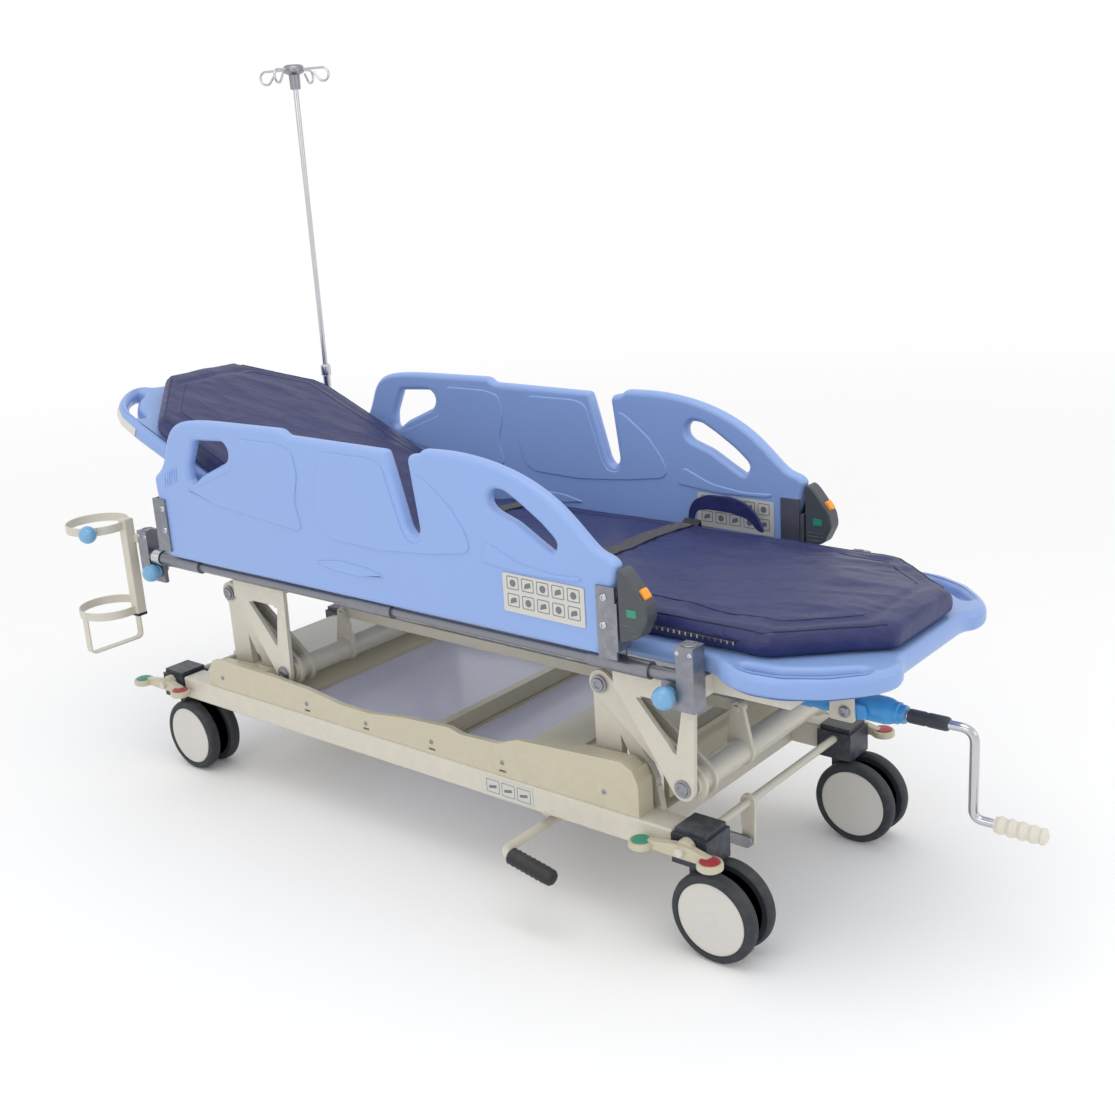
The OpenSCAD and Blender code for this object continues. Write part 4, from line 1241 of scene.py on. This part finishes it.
def pumpLever():
    start = spot(328, pump["pivotY"], pump["z"])
    elbow = spot(pump["x"], pump["pivotY"], pump["z"])
    corner = spot(pump["x"], pump["turnY"] + 4, pump["z"])
    end = spot(pump["x"] + 40, pump["turnY"] + 4, pump["z"] - 7)
    rod = tubeMesh("rod", bentPath([start, elbow, corner, end], 0.022), 0.010, sides=14)
    settle("pump_lever_rod", [(rod, beigePaint)], "pump", "pump_lever")
    axis = Vector((cos(radians(10)), 0, -sin(radians(10))))
    profile = [(10.2, 0), (14, 1), (16.5, 4)]
    for step in range(1, 24):
        part = step / 24
        profile.append((16.2 + 0.7 * cos(part * 2 * pi * 8), 4 + part * 92))
    profile += [(15.5, 100), (12, 104.5), (6, 106), (0.5, 106)]
    gripStart = spot(397, -404, pump["z"]) + axis * 0.020
    sleeve = turnedMesh("grip", profile, gripStart, axis, 40)
    settle("pump_foot_grip", [(sleeve, blackRubber)], "pump", "pump_grip")


pumpLever()
print("pump ready")

knob = {"x": 730, "z": 504, "y": 300, "radius": 21}
knobProfile = [(7, -14), (7, 9), (14, 9), (15, 10), (15, 14), (12, 17), (11, 19), (14, 20)]
for step in range(1, 15):
    angle = radians(-55 + step * 145 / 15)
    knobProfile.append((knob["radius"] * cos(angle), 30 + knob["radius"] * sin(angle)))
knobProfile.append((0.5, 51))


def pullKnob(end, side):
    sign = sideSigns[side]
    place = spot(endSigns[end] * knob["x"], sign * knob["y"], knob["z"])
    ball = turnedMesh("ball", knobProfile, place, (0, sign, 0), 48)
    corner = side + "_" + end
    settle("pull_knob_ball_" + corner, [(ball, knobBlue)], "pull_" + corner, "knob_" + corner)


for end in endSigns:
    for side in sideSigns:
        pullKnob(end, side)


post = {"socketX": 766, "socketY": 300, "top": 597, "screwX": (752, 778), "faceY": 318,
        "screwZ": 586}


def cornerCaps():
    # screws and socket rims on the four corner posts
    rim = [(10.2, -4), (12, -4), (15, 0), (15, 2), (13.6, 3.2), (10.6, 3.2), (10.2, 2)]
    screw = [(4.5, 0), (4.5, 1), (3.5, 2), (1.5, 2), (1.3, 1), (0.4, 1)]
    parts = []
    for signX in (-1, 1):
        for signY in (-1, 1):
            if (signX, signY) != (-1, 1):  # the drip pole fills this socket
                place = spot(signX * post["socketX"], signY * post["socketY"], post["top"])
                parts.append((turnedMesh("rim", rim, place, (0, 0, 1), 40), hammeredSteel))
            for x in post["screwX"]:
                place = spot(signX * x, signY * post["faceY"], post["screwZ"])
                parts.append((turnedMesh("screw", screw, place, (0, signY, 0), 24), polishedSteel))
    settle("corner_post_fittings", parts, "bed", "corner_posts", stands=False)


cornerCaps()
print("knobs ready")

pole = {"x": -766, "y": 300, "hooks": 4, "hookRadius": 0.0155}


def dripPole():
    place = spot(pole["x"], pole["y"], 0)
    tubeProfile = [(9.4, 522), (9.4, 597), (15, 598), (15, 610), (12, 613), (9.5, 614), (9.5, 862),
                   (12, 864),
                   (13, 867), (13, 888), (11, 892), (6.7, 892)]
    outer = turnedMesh("tube", tubeProfile, place, (0, 0, 1), 40)
    settle("drip_pole_tube", [(outer, polishedSteel)], "bed", "pole_tube")
    rodProfile = [(5.5, 560), (6.5, 562), (6.5, 1598), (6, 1600), (0.5, 1600)]
    inner = turnedMesh("rod", rodProfile, place, (0, 0, 1), 36)
    settle("drip_pole_rod", [(inner, polishedSteel)], "pole", "pole_rod")
    hub = [(6.6, 1574), (12, 1574), (12.8, 1577), (13.5, 1608), (20, 1611), (25, 1614), (26, 1617),
           (25.5, 1625),
           (22, 1630), (17, 1632), (0.5, 1632)]
    parts = [(turnedMesh("hub", hub, place, (0, 0, 1), 40), zincSteel)]
    loop = pole["hookRadius"]
    for number in range(pole["hooks"]):
        angle = radians(20 + 360 * number / pole["hooks"])
        outward = Vector((cos(angle), sin(angle), 0))
        wire = [(0.016, 1.620), (0.050, 1.6205)]
        for step in range(15):
            turn = radians(90 - step * 230 / 14)
            wire.append((0.0795 + loop * cos(turn), 1.605 + loop * sin(turn)))
        wire.append((0.0535, 1.612))
        path = [place + outward * reach + Vector((0, 0, height)) for reach, height in wire]
        parts.append((tubeMesh("hook", path, 0.0029, sides=8), polishedSteel))
    settle("drip_pole_hook_head", parts, "pole", "pole_hooks")


dripPole()
print("pole ready")

holder = {"ringX": -900, "ringY": -346, "inner": 70, "outer": 73, "ringHeight": 20, "ringLow": 384,
          "ringHigh": 594, "postX": -832, "postY": -312, "postHalf": 13, "knobRadius": 21}


def ringStrip(z):
    # flat strip bent into a ring
    turns = [2 * pi * step / 64 for step in range(64)]
    loops = [[(holder["ringX"] + radius * cos(turn), holder["ringY"] + radius * sin(turn))
              for turn in turns]
             for radius in (holder["outer"], holder["inner"])]
    height = holder["ringHeight"]
    return slabMesh("ring", loops, height, 0.9, flatPlane(z + height / 2), 2)


def bottleHolder():
    parts = [(ringStrip(holder[level]), beigePaint) for level in ("ringHigh", "ringLow")]
    x, y = holder["postX"], holder["postY"]
    half = holder["postHalf"]
    parts.append((boxMesh("post", (x - half, y - half, 382), (x + half, y + half, 620), 3),
                  beigePaint))
    half += 0.5
    parts.append((boxMesh("postCap", (x - half, y - half, 378), (x + half, y + half, 386), 2),
                  blackRubber))
    parts.append((boxMesh("arm", (x + 10, -306, 560), (-784, -286, 580), 2.5), beigePaint))
    reach = (holder["outer"] + holder["inner"]) / 2
    corners = ((-reach, 402), (-reach, 298.5), (reach, 298.5), (reach, 402))
    cradle = bentPath([spot(holder["ringX"], holder["ringY"] + y, z) for y, z in corners], 0.014)
    parts.append((strapMesh("cradle", cradle, 0.020, 0.003), beigePaint))
    settle("bottle_holder_frame", parts, "bed", "bottle_holder")
    angle = radians(-47)
    outward = Vector((cos(angle), sin(angle), 0))
    centre = spot(holder["ringX"], holder["ringY"], holder["ringHigh"] + 10) + outward * 0.092
    ball = holder["knobRadius"]
    profile = [(4.9, -31), (4.9, -20), (9, -19.5)]
    for step in range(1, 17):
        turn = radians(-64 + step * 150 / 17)
        profile.append((ball * cos(turn), ball * sin(turn)))
    profile.append((0.5, ball))
    knobMesh = turnedMesh("ball", profile, centre, outward, 48)
    settle("bottle_clamp_knob", [(knobMesh, knobBlue)], "clamp_knob", "holder_knob")


bottleHolder()
print("bottle holder ready")

def baseLabel():
    plate = roundedLoop(rectangle(262, 190, 126, 38), 3)
    front = uprightPlane(-298.1)
    parts = [(slabMesh("plate", [plate], label["paper"], 0.3, uprightPlane(-297.4), 1), labelPaper)]
    for column in range(3):
        x = 268 + column * 40
        parts.append(labelCell(x, 195, 34, 28, 1.2, (2, 1.5), front))
        bar = roundedLoop([(x + 7, 203), (x + 27, 207), (x + 26, 213), (x + 6, 209)], 1.5)
        parts.append(labelMark(bar, front))
    settle("base_label", parts, "base", "base_rails", stands=False)


def pivotNuts(columns, y, z):
    # a washer and nut on each side of the trolley
    nut = [(17, 0), (17, 2), (13, 2.2), (12, 5), (7, 5.4), (6, 4), (0.5, 4)]
    return [(turnedMesh("nut", nut, spot(x, side * y, z), (0, side, 0), 32), zincSteel)
            for x in columns for side in (-1, 1)]


cover = {"faceY": 293, "screws": ((-560, 262), (-265, 262), (-77, 258), (117, 262), (310, 264),
                                  (560, 268)),
         "seamX": 109, "seamHalf": 278, "seamZ": 239.2}


def coverFixings():
    head = [(5, 0), (5, 0.8), (4, 2), (1.4, 2.3), (1.2, 1.2), (0.4, 1.2)]
    parts = []
    for side in (-1, 1):
        for x, z in cover["screws"]:
            place = spot(x, side * cover["faceY"], z)
            parts.append((turnedMesh("screw", head, place, (0, side, 0), 24), zincSteel))
    seam = [spot(cover["seamX"], y, cover["seamZ"]) for y in (-cover["seamHalf"],
                                                              cover["seamHalf"])]
    parts.append((tubeMesh("traySeam", seam, 0.0015, sides=6), creamPlastic))
    parts += pivotNuts((524, -558), 246, 457)
    settle("cover_fixings", parts, "base", "base_cover", stands=False)


def gussetNuts():
    settle("gusset_nuts", pivotNuts((719, -363), 268.5, 305), "bed", "bed_gussets", stands=False)


baseLabel()
coverFixings()
gussetNuts()
print("labels and fixings ready")

def makeRoom():
    world = bpy.data.worlds.new("softRoom")
    bpy.context.scene.world = world
    world.use_nodes = True
    sky = world.node_tree.nodes["Background"]
    sky.inputs["Color"].default_value = (1.0, 1.0, 1.0, 1)
    # the backdrop reads white while the fill light stays softer
    seen = addNode(world.node_tree, "ShaderNodeLightPath").outputs["Is Camera Ray"]
    strength = mapRange(world.node_tree, seen, 0.0, 1.0, 0.93, 1.0)
    world.node_tree.links.new(strength, sky.inputs["Strength"])
    mesh = bpy.data.meshes.new("floor")
    size = 900
    mesh.from_pydata([(-size, -size, 0), (size, -size, 0), (size, size, 0), (-size, size, 0)], [],
                     [(0, 1, 2, 3)])
    pale = makeFinish("paleFloor", (0.96, 0.96, 0.96), 0.85, bump=0.0, mottle=0.005)
    tree = pale.node_tree
    # the floor fades to white with distance, so that no horizon shows
    reach = addNode(tree, "ShaderNodeVectorMath", operation="LENGTH")
    feed(tree, objectCoords(tree), reach.inputs[0])
    shader = tree.nodes["Principled BSDF"].inputs
    shader["Emission Color"].default_value = (1, 1, 1, 1)
    feed(tree, mapRange(tree, reach.outputs["Value"], 2.5, 9.0, 0.0, 0.14),
         shader["Emission Strength"])
    mesh.materials.append(pale)
    addObject("studio_floor", mesh)


def areaLight(name, place, height, size, power):
    # a soft box that looks at the middle of the trolley, at a height
    data = bpy.data.lights.new(name, "AREA")
    data.shape = "RECTANGLE"
    data.size = size
    data.size_y = size * 0.7
    data.energy = power
    lamp = addObject(name, data)
    lamp.location = place
    lamp.rotation_euler = (Vector((0, 0, height)) - Vector(place)).to_track_quat("-Z",
                                                                                 "Y").to_euler()


view = {"place": (2021.9, -2117.85, 1430.43), "yaw": 2.27288, "pitch": -0.28936, "roll": -0.06302,
        "lens": 45.163, "shiftX": 0.0023, "shiftY": -0.0056}


def makeCamera():
    data = bpy.data.cameras.new("camera")
    data.sensor_width = 36
    data.lens = view["lens"]
    data.shift_x = view["shiftX"]
    data.shift_y = view["shiftY"]
    data.clip_end = 100
    camera = addObject("camera", data)
    yaw, pitch, roll = view["yaw"], view["pitch"], view["roll"]
    forward = Vector((cos(pitch) * cos(yaw), cos(pitch) * sin(yaw), sin(pitch)))
    right = forward.cross(Vector((0, 0, 1))).normalized()
    up = right.cross(forward)
    right, up = right * cos(roll) + up * sin(roll), up * cos(roll) - right * sin(roll)
    basis = Matrix((right, up, -forward)).transposed().to_4x4()
    camera.matrix_world = Matrix.Translation(spot(*view["place"])) @ basis
    bpy.context.scene.camera = camera


makeRoom()
areaLight("overheadSoftbox", (0.4, -0.6, 3.4), 0.4, 2.6, 20)
areaLight("nearSoftbox", (0.2, -3.6, 2.2), 0.5, 2.4, 14)
areaLight("footSoftbox", (3.6, 0.6, 2.0), 0.5, 2.0, 8)
makeCamera()
bpy.context.scene.view_settings.view_transform = "Standard"
print("studio ready")
